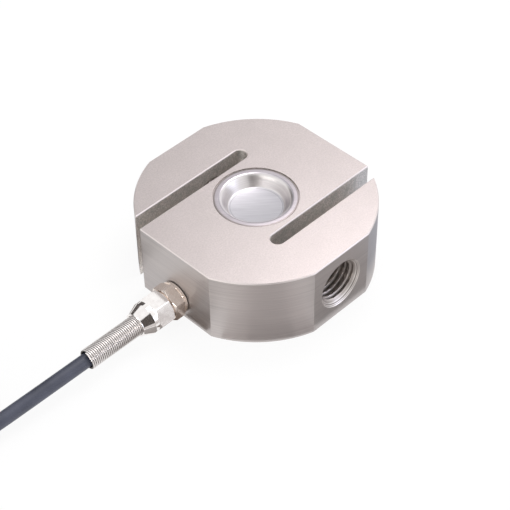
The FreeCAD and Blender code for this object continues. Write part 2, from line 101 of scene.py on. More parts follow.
def shells(name, grids):
    """One mesh from several grids, each with whether its columns and its rows are closed."""
    starts = np.cumsum([0] + [points.shape[0] * points.shape[1] for points, _, _ in grids])
    faces = [grid_faces(*points.shape[:2], close_u, close_v) + start
             for (points, close_u, close_v), start in zip(grids, starts)]
    mesh = bpy.data.meshes.new(name)
    mesh.from_pydata(np.concatenate([points.reshape(-1, 3) for points, _, _ in grids]).tolist(), [],
                     np.concatenate(faces).tolist())
    mesh.update()
    return mesh


def piece(name, mesh, material, replaced=(), smooth_angle=35.0):
    """Puts a mesh into the scene as a finished piece that rides on the frame."""
    merge_and_shade(mesh, smooth_angle)
    obj = bpy.data.objects.new(name, mesh)
    bpy.context.scene.collection.objects.link(obj)
    mesh.materials.clear()
    mesh.materials.append(material)
    mesh.polygons.foreach_set("material_index", [0] * len(mesh.polygons))
    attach(obj, ROOT)
    if replaced:
        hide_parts(*replaced)
    return obj


def merge_and_shade(mesh, smooth_angle):
    """Joins points that coincide, turns the faces outwards and keeps the edges sharp where two
    faces meet at more than the angle."""
    work = bmesh.new()
    work.from_mesh(mesh)
    bmesh.ops.remove_doubles(work, verts=work.verts, dist=SAME_PLACE)
    bmesh.ops.recalc_face_normals(work, faces=work.faces)
    limit = math.radians(smooth_angle)
    for face in work.faces:
        face.smooth = True
    for edge in work.edges:
        edge.smooth = len(edge.link_faces) == 2 and edge.calc_face_angle(0) < limit
    work.to_mesh(mesh)
    work.free()


def rounded_profile(corners, step):
    """Points along a closed outline of (station, radius, rounding) corners. Each corner is
    replaced by the tangent arc of its rounding, and straight runs are cut into equal steps."""
    points = np.array([c[:2] for c in corners], float)
    turns = [c[2] for c in corners]
    ends = []
    for i, here in enumerate(points):
        back, ahead = points[i - 1] - here, points[(i + 1) % len(points)] - here
        back, ahead = back / np.linalg.norm(back), ahead / np.linalg.norm(ahead)
        half = math.acos(float(np.clip(back @ ahead, -1, 1))) / 2
        if turns[i] <= 0 or half > NEARLY_STRAIGHT:
            ends.append(here[None, :])
            continue
        reach = turns[i] / math.tan(half)
        middle = here + (back + ahead) / np.linalg.norm(back + ahead) * turns[i] / math.sin(half)
        start, stop = here + back * reach - middle, here + ahead * reach - middle
        share = np.linspace(0, 1, ARC_POINTS)[:, None]
        arc = start * (1 - share) + stop * share
        ends.append(middle + arc / np.linalg.norm(arc, axis=1)[:, None] * turns[i])
    out = []
    for i, arc in enumerate(ends):
        out.append(arc)
        start, stop = arc[-1], ends[(i + 1) % len(ends)][0]
        count = int(np.linalg.norm(stop - start) // step)
        if count:
            share = np.linspace(0, 1, count + 2)[1:-1, None]
            out.append(start * (1 - share) + stop * share)
    return np.concatenate(out)


def hexagon_radius(angles, across_flats, corner_angle):
    """The distance from the axis to a hexagon's side at each angle: half the width across flats
    over the cosine of the angle to the nearest side's middle."""
    to_side = (angles - math.radians(corner_angle)) % (math.pi / 3) - math.pi / 6
    return across_flats / 2 / np.cos(to_side)


def lathe(name, profile, segments, hexagons=(), edge=0.0):
    """A closed shell turned about the gland's axis from a closed profile of (station, radius).
    Between the stations of a hexagon the radius is the smaller of the profile's and the
    hexagon's, blended over a small width so that the edge between them is soft."""
    angles = np.linspace(0, 2 * math.pi, segments, endpoint=False)
    station = profile[:, 0][:, None]
    radius = np.broadcast_to(profile[:, 1][:, None], (len(profile), segments)).copy()
    for first, last, across, corner_angle, core in hexagons:
        side = hexagon_radius(angles, across, corner_angle)[None, :]
        inside = (station >= first - 1e-9) & (station <= last + 1e-9) & (radius > core)
        gap = radius - side
        smaller = (radius + side - np.sqrt(gap * gap + edge * edge)) / 2
        radius = np.where(inside, smaller, radius)
    up, across_y = radius * np.cos(angles), radius * np.sin(angles)
    x = GLAND_FLAT_X - np.broadcast_to(station, radius.shape)
    grid = np.stack([x, across_y, GLAND_AXIS_Z + up], -1)
    return surface(name, grid, close_u=True, close_v=True)


# --- materials ---------------------------------------------------------------------------
# Where nearly all of a noise's values lie, as the first limits of a Map Range node.
NOISE_RANGE = {1: 0.3, 2: 0.7}
# The second limits of a Map Range node whose result falls from 1 to 0.
FALLING = {3: 1.0, 4: 0.0}
# What makes a Mix node one for colours: they go into its sockets 6 and 7, and come out of 2.
COLOURS = {"output": 2, "data_type": "RGBA"}
# Where one finish gives way to the next, as the first limits of a Map Range node. The slots' walls:
# from the body's axis, and along Y from its middle.
SLOT_REACH = {1: 45.3 * MM, 2: 45.7 * MM}
SLOT_INBOARD = {1: 30 * MM, 2: 31 * MM}
# The load thread: from its axis, where the painted shade of its roots comes in, and along Y where
# that painted shade ends and its countersink starts.
THREAD_ROOT_SHADE = {1: 9.1 * MM, 2: 9.8 * MM}
THREAD_MOUTH = {1: 45.6 * MM, 2: 46.4 * MM}
COUNTERSINK = {1: 46.1 * MM, 2: 46.3 * MM}
# The cups, from their axis: the flange, the weld, the two die lines and how far those spread.
CUP_FLANGE = {1: 14.0 * MM, 2: 15.5 * MM}
CUP_WELD = {1: 16.75 * MM, 2: 17.05 * MM}
DIE_LINES = (15.35 * MM, 10.85 * MM)
DIE_LINE_EDGE = {1: 0.10 * MM, 2: 0.22 * MM}
# The spring, from the gland's axis: in the painted shade between its turns, and on top of them.
SPRING_GROOVE = {1: 3.98 * MM, 2: 4.22 * MM}


def linear(hex_colour):
    """The linear colour of an sRGB hex value such as "#C9C8CE"."""
    values = np.array([int(hex_colour[i : i + 2], 16) for i in (1, 3, 5)]) / 255
    values = np.where(values <= 0.04045, values / 12.92, ((values + 0.055) / 1.055) ** 2.4)
    return (*values.tolist(), 1.0)


def add(tree, kind, inputs, output=0, **settings):
    """Adds a shader node with its settings and gives one of its outputs. Each input is a value, an
    sRGB hex colour or the output that it is linked from."""
    node = tree.nodes.new("ShaderNode" + kind)
    for key, value in settings.items():
        setattr(node, key, value)
    for key, value in inputs.items():
        if isinstance(value, bpy.types.NodeSocket):
            tree.links.new(value, node.inputs[key])
        else:
            node.inputs[key].default_value = linear(value) if isinstance(value, str) else value
    return node.outputs[output]


def join(tree, node, socket, value):
    """Links an output to one of a node's inputs."""
    tree.links.new(value, node.inputs[socket])


def finish_of(name, **values):
    """A material with its shader's own sockets set. Returns it, its tree and its shader."""
    made = bpy.data.materials.new(name)
    made.use_nodes = True
    tree = made.node_tree
    shader = tree.nodes["Principled BSDF"]
    for key, value in values.items():
        shader.inputs[key.replace("_", " ")].default_value = value
    return made, tree, shader


def between(tree, noise, first, second):
    """A colour that goes from the first to the second as a noise goes from low to high."""
    share = add(tree, "MapRange", {0: noise, **NOISE_RANGE})
    return add(tree, "Mix", {0: share, 6: first, 7: second}, **COLOURS)


def distance(tree, place, plane):
    """How far a place is from an axis through the origin, measured in the plane across it, whose
    two directions are given as ones."""
    level = add(tree, "VectorMath", {0: place, 1: plane}, operation="MULTIPLY")
    return add(tree, "VectorMath", {0: level}, "Value", operation="LENGTH")


def blasted_and_turned_steel(look):
    """Nickel-plated alloy steel. Both faces are ground and fine-blasted, which gives them a pale
    satin grain. The rim is turned, so it is a little darker and has fine lines all the way round.
    The slots are milled and brighter, with coolant stains, and a painted highlight lies along
    the broken edges."""
    made, tree, shader = finish_of("blasted_and_turned_steel", Metallic=1.0)
    place = add(tree, "TexCoord", {}, "Object")
    facing = add(tree, "NewGeometry", {}, "Normal")
    upward = add(tree, "SeparateXYZ", {0: facing}, "Z")
    flatness = add(tree, "Math", {0: upward}, operation="ABSOLUTE")
    # The chamfered edges, facing about halfway up, get a painted highlight.
    on_highlit_edge = add(tree, "MapRange", {0: flatness, 1: 0.45, 2: 0.65})
    on_face = add(tree, "MapRange", {0: flatness, 1: 0.75, 2: 0.9})
    # A slot's walls are nearer to the axis than the flats and the rim. Their outer ends aren't,
    # but they face along Y and are nearer to the slots' middle than the load flats.
    from_axis = distance(tree, place, (1, 1, 0))
    within = add(tree, "MapRange", {0: from_axis, **SLOT_REACH, **FALLING})
    place_y = add(tree, "SeparateXYZ", {0: place}, "Y")
    off_centre = add(tree, "Math", {0: place_y}, operation="ABSOLUTE")
    inboard = add(tree, "MapRange", {0: off_centre, **SLOT_INBOARD, **FALLING})
    facing_y = add(tree, "SeparateXYZ", {0: facing}, "Y")
    across = add(tree, "Math", {0: facing_y}, operation="ABSOLUTE")
    across = add(tree, "MapRange", {0: across, 1: 0.7, 2: 0.8})
    wall = add(tree, "Math", {0: inboard, 1: across}, operation="MULTIPLY")
    milled = add(tree, "Math", {0: within, 1: wall}, operation="MAXIMUM")
    # The blasting's grain is about 0.1 mm and the turned lines about 0.1 mm apart; they are drawn
    # at 0.6 mm and 0.35 mm so that they show. The cutter's chatter marks are 0.7 mm apart.
    grain = add(tree, "TexNoise", {
        "Vector": place, "Scale": 1 / (0.6 * MM), "Detail": 3.0, "Roughness": 0.6})
    cloud = add(tree, "TexNoise", {"Vector": place, "Scale": 1 / (9 * MM), "Detail": 3.0})
    turned = add(tree, "Mapping", {"Vector": place, "Scale": (26.0, 26.0, 1 / (0.35 * MM))})
    lines = add(tree, "TexNoise", {
        "Vector": turned, "Scale": 1.0, "Detail": 3.0, "Roughness": 0.7})
    chatter = add(tree, "TexNoise", {
        "Vector": place, "Scale": 1 / (0.7 * MM), "Detail": 3.0, "Roughness": 0.6})
    stain = add(tree, "TexNoise", {
        "Vector": place, "Scale": 1 / (2.4 * MM), "Detail": 4.0, "Roughness": 0.65})
    face = between(tree, grain, look.face_dark, look.face_light)
    face = add(tree, "Mix", {
        0: add(tree, "MapRange", {0: cloud, **NOISE_RANGE, 4: 0.3}),
        6: face, 7: look.face_dark}, **COLOURS)
    side = between(tree, lines, look.side_dark, look.side_light)
    slot = add(tree, "Mix", {
        0: add(tree, "MapRange", {0: chatter, 1: 0.4, 2: 0.6}),
        6: look.slot_dark, 7: look.slot_light}, **COLOURS)
    slot = add(tree, "Mix", {
        0: add(tree, "MapRange", {0: stain, 1: 0.42, 2: 0.66, 4: 0.6}),
        6: slot, 7: look.slot_stain}, **COLOURS)
    side = add(tree, "Mix", {0: milled, 6: side, 7: slot}, **COLOURS)
    # Painted highlight on the chamfered edges.
    side = add(tree, "Mix", {0: on_highlit_edge, 6: side, 7: look.edge}, **COLOURS)
    join(tree, shader, "Base Color", add(tree, "Mix", {0: on_face, 6: side, 7: face}, **COLOURS))
    face_rough = add(tree, "MapRange", {0: grain, **NOISE_RANGE, 3: 0.40, 4: 0.50})
    turned_rough = add(tree, "MapRange", {0: lines, **NOISE_RANGE, 3: 0.38, 4: 0.48})
    side_rough = add(tree, "Mix", {0: milled, 2: turned_rough, 3: 0.55})
    join(tree, shader, "Roughness", add(tree, "Mix", {0: on_face, 2: side_rough, 3: face_rough}))
    height = add(tree, "Mix", {0: on_face, 2: lines, 3: grain})
    depth = add(tree, "Mix", {0: on_face, 2: 0.010 * MM, 3: 0.030 * MM})
    join(tree, shader, "Normal", add(tree, "Bump", {
        "Height": height, "Distance": depth, "Strength": 0.5}))
    return made


def cut_thread_steel(look):
    """The same steel, freshly tapped: bright crests with fine drag lines round the thread, painted
    shade in its roots, and turning marks on the countersink."""
    made, tree, shader = finish_of("cut_thread_steel", Metallic=1.0)
    place = add(tree, "TexCoord", {}, "Object")
    dragged = add(tree, "Mapping", {"Vector": place, "Scale": (60.0, 1 / (0.25 * MM), 60.0)})
    lines = add(tree, "TexNoise", {"Vector": dragged, "Scale": 1.0})
    tone = between(tree, lines, look.thread_dark, look.thread_light)
    from_middle = add(tree, "VectorMath", {0: place, 1: (0, 0, MIDDLE)}, operation="SUBTRACT")
    from_axis = distance(tree, from_middle, (1, 0, 1))
    place_y = add(tree, "SeparateXYZ", {0: place}, "Y")
    off_centre = add(tree, "Math", {0: place_y}, operation="ABSOLUTE")
    # Painted shade: the tone darkens towards the roots of the thread.
    root = add(tree, "MapRange", {0: from_axis, **THREAD_ROOT_SHADE})
    inside = add(tree, "MapRange", {0: off_centre, **THREAD_MOUTH, **FALLING})
    oily = add(tree, "Math", {0: root, 1: inside}, operation="MULTIPLY")
    tone = add(tree, "Mix", {0: oily, 6: tone, 7: look.thread_root_shade}, **COLOURS)
    # The countersink's turning marks are about 0.1 mm apart and are drawn at 0.4 mm.
    turned = add(tree, "Mapping", {"Vector": place, "Scale": (12.0, 1 / (0.4 * MM), 12.0)})
    marks = add(tree, "TexNoise", {"Vector": turned, "Scale": 1.0, "Detail": 1.0})
    mouth = add(tree, "Mix", {
        0: add(tree, "MapRange", {0: marks, 1: 0.45, 2: 0.54}),
        6: look.mouth_dark, 7: look.mouth_light}, **COLOURS)
    at_mouth = add(tree, "MapRange", {0: off_centre, **COUNTERSINK})
    join(tree, shader, "Base Color", add(tree, "Mix", {0: at_mouth, 6: tone, 7: mouth}, **COLOURS))
    join(tree, shader, "Roughness", add(tree, "MapRange", {
        0: lines, **NOISE_RANGE, 3: 0.32, 4: 0.44}))
    join(tree, shader, "Normal", add(tree, "Bump", {
        "Height": lines, "Distance": 0.012 * MM, "Strength": 0.5}))
    return made


def pressed_bright_sheet(look):
    """Stainless sheet, bright rolled and then deep drawn: the flange and the floor keep the fine
    rolling lines, the wall has faint rings from the draw, and the die has left a thin dull line
    at each bend. The weld has tinted the flange's rim."""
    made, tree, shader = finish_of("pressed_bright_sheet", Metallic=1.0)
    place = add(tree, "TexCoord", {}, "Object")
    from_axis = distance(tree, place, (1, 1, 0))
    # Rolling lines are some 0.05 mm apart and draw rings 0.1 mm; both are drawn at 0.4 mm.
    drawn = add(tree, "Mapping", {"Vector": place, "Scale": (30.0, 30.0, 1 / (0.4 * MM))})
    rings = add(tree, "TexNoise", {"Vector": drawn, "Scale": 1.0, "Detail": 3.0, "Roughness": 0.6})
    rolled = add(tree, "Mapping", {
        "Vector": place, "Rotation": (0, 0, math.radians(-45)),
        "Scale": (12 * MM, 0.4 * MM, 12 * MM)}, vector_type="TEXTURE")
    satin = add(tree, "TexNoise", {"Vector": rolled, "Scale": 1.0})
    upward = add(tree, "SeparateXYZ", {0: add(tree, "NewGeometry", {}, "Normal")}, "Z")
    flatness = add(tree, "Math", {0: upward}, operation="ABSOLUTE")
    on_flat = add(tree, "MapRange", {0: flatness, 1: 0.8, 2: 0.97})
    wall = between(tree, rings, look.wall_dark, look.wall_light)
    streak = add(tree, "MapRange", {0: satin, 1: 0.1, 2: 0.9})
    floor = add(tree, "Mix", {0: streak, 6: look.cup_dark, 7: look.cup_light}, **COLOURS)
    flange = add(tree, "Mix", {0: streak, 6: look.flange_dark, 7: look.flange_light}, **COLOURS)
    outward = add(tree, "MapRange", {0: from_axis, **CUP_FLANGE})
    sheet = add(tree, "Mix", {0: outward, 6: floor, 7: flange}, **COLOURS)
    tone = add(tree, "Mix", {0: on_flat, 6: wall, 7: sheet}, **COLOURS)
    for bend in DIE_LINES:
        off_bend = add(tree, "Math", {0: from_axis, 1: bend}, operation="SUBTRACT")
        off_bend = add(tree, "Math", {0: off_bend}, operation="ABSOLUTE")
        near = add(tree, "MapRange", {0: off_bend, **DIE_LINE_EDGE, 3: 0.55, 4: 0.0})
        tone = add(tree, "Mix", {0: near, 6: tone, 7: look.die_line}, **COLOURS)
    seam = add(tree, "MapRange", {0: from_axis, **CUP_WELD, 4: 0.7})
    join(tree, shader, "Base Color", add(tree, "Mix", {0: seam, 6: tone, 7: look.weld}, **COLOURS))
    wall_rough = add(tree, "MapRange", {0: rings, **NOISE_RANGE, 3: 0.31, 4: 0.35})
    flat_rough = add(tree, "MapRange", {0: satin, **NOISE_RANGE, 3: 0.28, 4: 0.34})
    join(tree, shader, "Roughness", add(tree, "Mix", {0: on_flat, 2: wall_rough, 3: flat_rough}))
    depth = add(tree, "Mix", {0: on_flat, 2: 0.0, 3: 0.002 * MM})
    join(tree, shader, "Normal", add(tree, "Bump", {
        "Height": satin, "Distance": depth, "Strength": 0.4}))
    return made


def nickel_plate(name, light, dark, smoothest, roughest):
    """Bright nickel over turned brass: fine lines round the axis show through the plating, and
    handling leaves faint cloudy marks, some 2.5 mm wide."""
    made, tree, shader = finish_of(name, Metallic=1.0)
    place = add(tree, "TexCoord", {}, "Object")
    turned = add(tree, "Mapping", {"Vector": place, "Scale": (1 / (0.3 * MM), 50.0, 50.0)})
    lines = add(tree, "TexNoise", {"Vector": turned, "Scale": 1.0})
    marks = add(tree, "TexNoise", {
        "Vector": place, "Scale": 1 / (2.5 * MM), "Detail": 4.0, "Roughness": 0.6})
    join(tree, shader, "Base Color", between(tree, marks, dark, light))
    join(tree, shader, "Roughness", add(tree, "MapRange", {
        0: marks, **NOISE_RANGE, 3: smoothest, 4: roughest}))
    join(tree, shader, "Normal", add(tree, "Bump", {
        "Height": lines, "Distance": 0.006 * MM, "Strength": 0.5}))
    return made


def spring_wire(look):
    """Hard-drawn bright spring wire. Oil and painted shade lie between the turns, so the tone
    darkens with the depth below the outside of the spring."""
    made, tree, shader = finish_of("spring_wire", Metallic=1.0)
    place = add(tree, "TexCoord", {}, "Object")
    marks = add(tree, "TexNoise", {"Vector": place, "Scale": 1 / (0.5 * MM)})
    from_middle = add(tree, "VectorMath", {
        0: place, 1: (0, 0, GLAND_AXIS_Z)}, operation="SUBTRACT")
    from_axis = distance(tree, from_middle, (0, 1, 1))
    # Oil and painted shade: the wire darkens towards the grooves between its turns.
    clear_of_oil_and_shade = add(tree, "MapRange", {0: from_axis, **SPRING_GROOVE})
    join(tree, shader, "Base Color", add(tree, "Mix", {
        0: clear_of_oil_and_shade, 6: look.spring_dark, 7: look.spring_light}, **COLOURS))
    join(tree, shader, "Roughness", add(tree, "MapRange", {
        0: marks, **NOISE_RANGE, 3: 0.28, 4: 0.38}))
    return made


def extruded_pvc(look):
    """Soft extruded PVC: a dull skin with a slight orange peel, a little glossier where rubbed."""
    made, tree, shader = finish_of("extruded_pvc", IOR=1.53)
    place = add(tree, "TexCoord", {}, "Object")
    peel = add(tree, "TexNoise", {"Vector": place, "Scale": 1 / (0.8 * MM)})
    rubbed = add(tree, "TexNoise", {"Vector": place, "Scale": 1 / (9 * MM)})
    join(tree, shader, "Base Color", between(tree, rubbed, look.cable_dark, look.cable_light))
    join(tree, shader, "Roughness", add(tree, "MapRange", {
        0: rubbed, **NOISE_RANGE, 3: 0.36, 4: 0.50}))
    join(tree, shader, "Normal", add(tree, "Bump", {
        "Height": peel, "Distance": 0.04 * MM, "Strength": 0.4}))
    return made


def mottled(name, colour, second, smoothest, roughest, ior=1.5, size=1.0):
    """A moulded, turned or shrunk plastic or rubber: one colour with a faint mottle and a fine
    skin. size is the mottle's grain in millimetres."""
    made, tree, shader = finish_of(name, IOR=ior)
    place = add(tree, "TexCoord", {}, "Object")
    mottle = add(tree, "TexNoise", {"Vector": place, "Scale": 1 / (size * MM), "Detail": 3.0})
    join(tree, shader, "Base Color", between(tree, mottle, colour, second))
    join(tree, shader, "Roughness", add(tree, "MapRange", {
        0: mottle, **NOISE_RANGE, 3: smoothest, 4: roughest}))
    join(tree, shader, "Normal", add(tree, "Bump", {
        "Height": mottle, "Distance": 0.02 * MM, "Strength": 0.4}))
    return made


def gauge_film():
    """Amber polyimide film that carries etched metal grids, 0.25 mm apart, laid at 45 degrees."""
    made, tree, shader = finish_of("gauge_film", Roughness=0.3)
    place = add(tree, "TexCoord", {}, "Object")
    turned = add(tree, "Mapping", {"Vector": place, "Rotation": (0, 0, math.radians(-45))})
    grid = add(tree, "TexWave", {
        "Vector": turned, "Scale": 1 / (1.6 * MM)}, "Fac", bands_direction="X")
    metal = add(tree, "MapRange", {0: grid, 1: 0.45, 2: 0.55})
    join(tree, shader, "Base Color", add(tree, "Mix", {
        0: metal, 6: "#B8741E", 7: "#C9B9A0"}, **COLOURS))
    join(tree, shader, "Metallic", metal)
    return made


def circuit_board():
    """Glass fibre board with green lacquer and round tinned pads, 2 mm apart."""
    made, tree, shader = finish_of("circuit_board", Roughness=0.35)
    place = add(tree, "TexCoord", {}, "Object")
    from_pad = add(tree, "TexVoronoi", {
        "Vector": place, "Scale": 1 / (2 * MM), "Randomness": 0.0}, "Distance")
    pad = add(tree, "MapRange", {0: from_pad, 1: 0.30, 2: 0.34, **FALLING})
    weave = add(tree, "TexNoise", {"Vector": place, "Scale": 1 / (0.3 * MM)})
    lacquer = between(tree, weave, "#1C5A36", "#27714A")
    join(tree, shader, "Base Color", add(tree, "Mix", {
        0: pad, 6: lacquer, 7: "#D2CFC8"}, **COLOURS))
    join(tree, shader, "Metallic", pad)
    return made


def lead_insulation(name, colour, second):
    """Core insulation, with a tinned end where the core is bare: past the radial line at the tip's
    angle round the coil, the colour and the metal of the tin take over."""
    made, tree, shader = finish_of(name, IOR=1.5)
    place = add(tree, "TexCoord", {}, "Object")
    across = (math.sin(LEAD_TIP_ANGLE), -math.cos(LEAD_TIP_ANGLE), 0.0)
    offset = add(tree, "VectorMath", {0: place, 1: tuple(COIL_CENTRE)}, operation="SUBTRACT")
    past = add(tree, "VectorMath", {0: offset, 1: across}, "Value", operation="DOT_PRODUCT")
    bare = add(tree, "MapRange", {0: past, 1: 0.0, 2: 0.05 * MM})
    mottle = add(tree, "TexNoise", {"Vector": place, "Scale": 1 / (1.5 * MM)})
    skin = between(tree, mottle, colour, second)
    join(tree, shader, "Base Color", add(tree, "Mix", {0: bare, 6: skin, 7: "#C9CACC"}, **COLOURS))
    join(tree, shader, "Metallic", bare)
    join(tree, shader, "Roughness", add(tree, "MapRange", {
        0: mottle, **NOISE_RANGE, 3: 0.30, 4: 0.42}))
    return made


def coloured_cores():
    """Four cores side by side, told apart by where each lies round the cable's axis."""
    made, tree, shader = finish_of("coloured_cores", IOR=1.5)
    place = add(tree, "TexCoord", {}, "Object")
    place_y = add(tree, "SeparateXYZ", {0: place}, "Y")
    place_z = add(tree, "SeparateXYZ", {0: place}, "Z")
    side = add(tree, "Math", {0: place_y, 1: 0.0}, operation="GREATER_THAN")
    above = add(tree, "Math", {0: place_z, 1: GLAND_AXIS_Z}, operation="GREATER_THAN")
    left = add(tree, "Mix", {0: above, 6: "#16161A", 7: "#B01820"}, **COLOURS)
    right = add(tree, "Mix", {0: above, 6: "#E4E4DF", 7: "#167A3A"}, **COLOURS)
    mottle = add(tree, "TexNoise", {"Vector": place, "Scale": 1 / (1.5 * MM)})
    join(tree, shader, "Base Color", add(tree, "Mix", {0: side, 6: left, 7: right}, **COLOURS))
    join(tree, shader, "Roughness", add(tree, "MapRange", {
        0: mottle, **NOISE_RANGE, 3: 0.30, 4: 0.42}))
    return made


def enamelled_copper():
    """Copper wire under clear enamel: warm and glossy, with slow changes of tone along it."""
    made, tree, shader = finish_of("enamelled_copper", Metallic=1.0, Roughness=0.28)
    place = add(tree, "TexCoord", {}, "Object")
    tone = add(tree, "TexNoise", {"Vector": place, "Scale": 1 / MM})
    join(tree, shader, "Base Color", between(tree, tone, "#B56A3C", "#9A5028"))
    return made


def dress(node, material):
    """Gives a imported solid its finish."""
    if not NODES[node].material_slots:
        NODES[node].data.materials.append(material)
    for slot in NODES[node].material_slots:
        slot.material = material


# --- sizes and colours that a user would change ----------------------------------------------
def length(name, text, value):
    """A length that a user can set, with its default in millimetres."""
    return FloatProperty(
        name=name, description=text, default=value * MM, unit="LENGTH", precision=5)


def angle(name, text, value):
    """An angle that a user can set, with its default in degrees."""
    return FloatProperty(name=name, description=text, default=math.radians(value), subtype="ANGLE")


def colour(name, text, value):
    """A colour that a user can set."""
    return StringProperty(name=name, description=text + ", as an sRGB hex value", default=value)


class LoadCellLook(bpy.types.PropertyGroup):
    """The colours of the finishes"""

    face_light: colour("Face, light", "Light grain of the blasted faces", "#CBC2C1")
    face_dark: colour("Face, dark", "Dark grain of the blasted faces", "#B6AEAD")
    side_light: colour("Rim, light", "Light lines of the turned rim", "#C5BFBD")
    side_dark: colour("Rim, dark", "Dark lines of the turned rim", "#B1ABAA")
    slot_light: colour("Slot walls, light", "Bright marks on the milled walls", "#F6F0ED")
    slot_dark: colour("Slot walls, dark", "Dull places on the milled walls", "#D6D0CC")
    slot_stain: colour("Slot walls, stained", "Coolant stains on the milled walls", "#BFC0BB")
    # The colour of the painted highlight along the body's chamfered edges.
    edge: colour("Edges", "Polished edges of the body", "#E2DAD8")
    thread_light: colour("Thread, light", "Light drag lines of the thread", "#D3CCC8")
    thread_dark: colour("Thread, dark", "Dark drag lines of the thread", "#B0A8A4")
    # Painted shade in the roots of the thread.
    thread_root_shade: colour("Thread roots", "Cutting oil in the roots of the thread", "#A59D98")
    mouth_light: colour("Countersink, light", "Light turning marks of the countersink", "#E4DEDB")
    mouth_dark: colour("Countersink, dark", "Dark turning marks of the countersink", "#8A827E")
    cup_light: colour("Cup floor, light", "Light streaks of the floor", "#CBC9CE")
    cup_dark: colour("Cup floor, dark", "Dark streaks of the floor", "#B0AEB4")
    flange_light: colour("Cup flange, light", "Light streaks of the flange", "#C7C0C5")
    flange_dark: colour("Cup flange, dark", "Dark streaks of the flange", "#ACA5AB")
    wall_light: colour("Cup wall, light", "Light streaks of the drawn wall", "#EDE9E8")
    wall_dark: colour("Cup wall, dark", "Dark streaks of the drawn wall", "#DED9D9")
    die_line: colour("Die lines", "Dull lines at the bends of the cups", "#86838A")
    weld: colour("Weld", "Tint that the weld left on the cups' rims", "#847A76")
    base_light: colour("Gland base, light", "Plating of the gland base", "#FAF0E8")
    base_dark: colour("Gland base, dark", "Cloudy marks on the gland base", "#EEE1D7")
    nut_light: colour("Gland nut, light", "Plating of the gland nut", "#FFFCFA")
    nut_dark: colour("Gland nut, dark", "Cloudy marks on the gland nut", "#F1ECEA")
    spring_light: colour("Spring, light", "Bright side of the spring wire", "#E4DFDD")
    spring_dark: colour("Spring, dark", "Oil and shade between the turns", "#524D49")
    cable_light: colour("Jacket, light", "Rubbed places of the cable's jacket", "#474A59")
    cable_dark: colour("Jacket, dark", "The cable's jacket", "#383B48")


class LoadThreadSizes(bpy.types.PropertyGroup):
    """The threads in both load holes"""

    pitch: length("Pitch", "From one crest to the next", 2.5)
    root_radius: length("Root radius", "To the bottom of the thread", 9.95)
    crest_radius: length("Crest radius", "To the crests", 8.65)
    shell_radius: length("Shell radius", "Outside of the threaded shell, in the steel", 10.06)
    mouth_radius: length("Mouth radius", "Of the countersink at the flat", 11.3)
    lap: length("Lap", "How far the cut surface stands off the drilled one", 0.03)
    inner_end: length("Inner end", "From the centre to the slot that the hole opens into", 26.52)
    segments: IntProperty(name="Segments", description="Round one turn", default=144, min=48)
    steps_per_pitch: IntProperty(name="Steps", description="Along one pitch", default=20, min=8)


class CupSizes(bpy.types.PropertyGroup):
    """Both sealing cups"""

    sheet: length("Sheet", "Thickness of the pressed sheet", 0.6)
    depth: length("Depth", "From the flange to the floor", 5.6)
    flange_radius: length("Flange radius", "Outside of the flange", 17.52)
    mouth_radius: length("Mouth radius", "Where the wall meets the flange", 14.6)
    floor_radius: length("Floor radius", "Where the wall meets the floor", 11.7)
    mouth_bend: length("Mouth bend", "Tight side of the bend at the mouth", 1.1)
    floor_bend: length("Floor bend", "Tight side of the bend at the floor", 0.9)
    crown: length("Crown", "How far the flange falls towards its rim", 0.17)
    edge: length("Edge", "Rounding of the sheared rim", 0.12)
    dish: length("Dish", "How far the floor's edge stands above its middle", 0.8)
    segments: IntProperty(name="Segments", description="Round the cup", default=192, min=48)


class GlandSizes(bpy.types.PropertyGroup):
    """The cable gland's base and nut"""

    across_flats: length("Across flats", "Of both hexagons", 14.0)
    base_turn: angle("Base turn", "Of a corner of the base, from straight up", -1.5)
    nut_turn: angle("Nut turn", "Of a corner of the nut, from straight up", 25.5)
    corner_edge: length("Corner edge", "How soft the hexagons' edges are", 0.03)
    rounding: length("Rounding", "Of the turned edges", 0.15)
    segments: IntProperty(name="Segments", description="Round the gland", default=240, min=96)


class SpringSizes(bpy.types.PropertyGroup):
    """The strain relief spring"""

    wire: length("Wire", "Diameter of the wire", 0.9)
    turns: IntProperty(name="Turns", description="Number of turns", default=35, min=3)
    steps_per_turn: IntProperty(
        name="Steps", description="Points along one turn", default=40, min=12)
    sides: IntProperty(name="Sides", description="Round the wire", default=12, min=6)


class CableSizes(bpy.types.PropertyGroup):
    """The cable and its coil"""

    diameter: length("Diameter", "Of the jacket", 6.0)
    total: length("Length", "Of the whole cable", 3000.0)
    outer_turn: length("Outer turn", "Radius of the coil's outermost turn", 43.5)
    inner_turn: length("Inner turn", "Radius of the coil's innermost turn", 24.0)
    tail_radius: length("Tail radius", "Of the last stretch, on top of the coil", 40.0)
    tail_height: length("Tail height", "Of the last stretch's middle", 28.4)
    layers: IntProperty(name="Layers", description="Of turns in the coil", default=4, min=1)
    per_turn: IntProperty(
        name="Points", description="Of the line for each turn", default=16, min=12)


class TieSizes(bpy.types.PropertyGroup):
    """The two cable ties round the coil"""

    width: length("Width", "Of the strap", 4.0)
    thickness: length("Thickness", "Of the strap", 0.9)
    head_length: length("Head length", "Across the coil's turns", 6.0)
    head_width: length("Head width", "Along the coil's turns", 5.2)
    head_height: length("Head height", "Above the strap", 3.6)
    stub: length("Stub", "How far the strap's cut end stands out of the head", 2.4)
    angles: FloatVectorProperty(
        name="Angles", description="Where the two ties hold the coil", size=2,
        default=(math.radians(95.0), math.radians(-35.0)), unit="ROTATION")
    segments: IntProperty(
        name="Segments", description="Round the strap's loop", default=144, min=48)


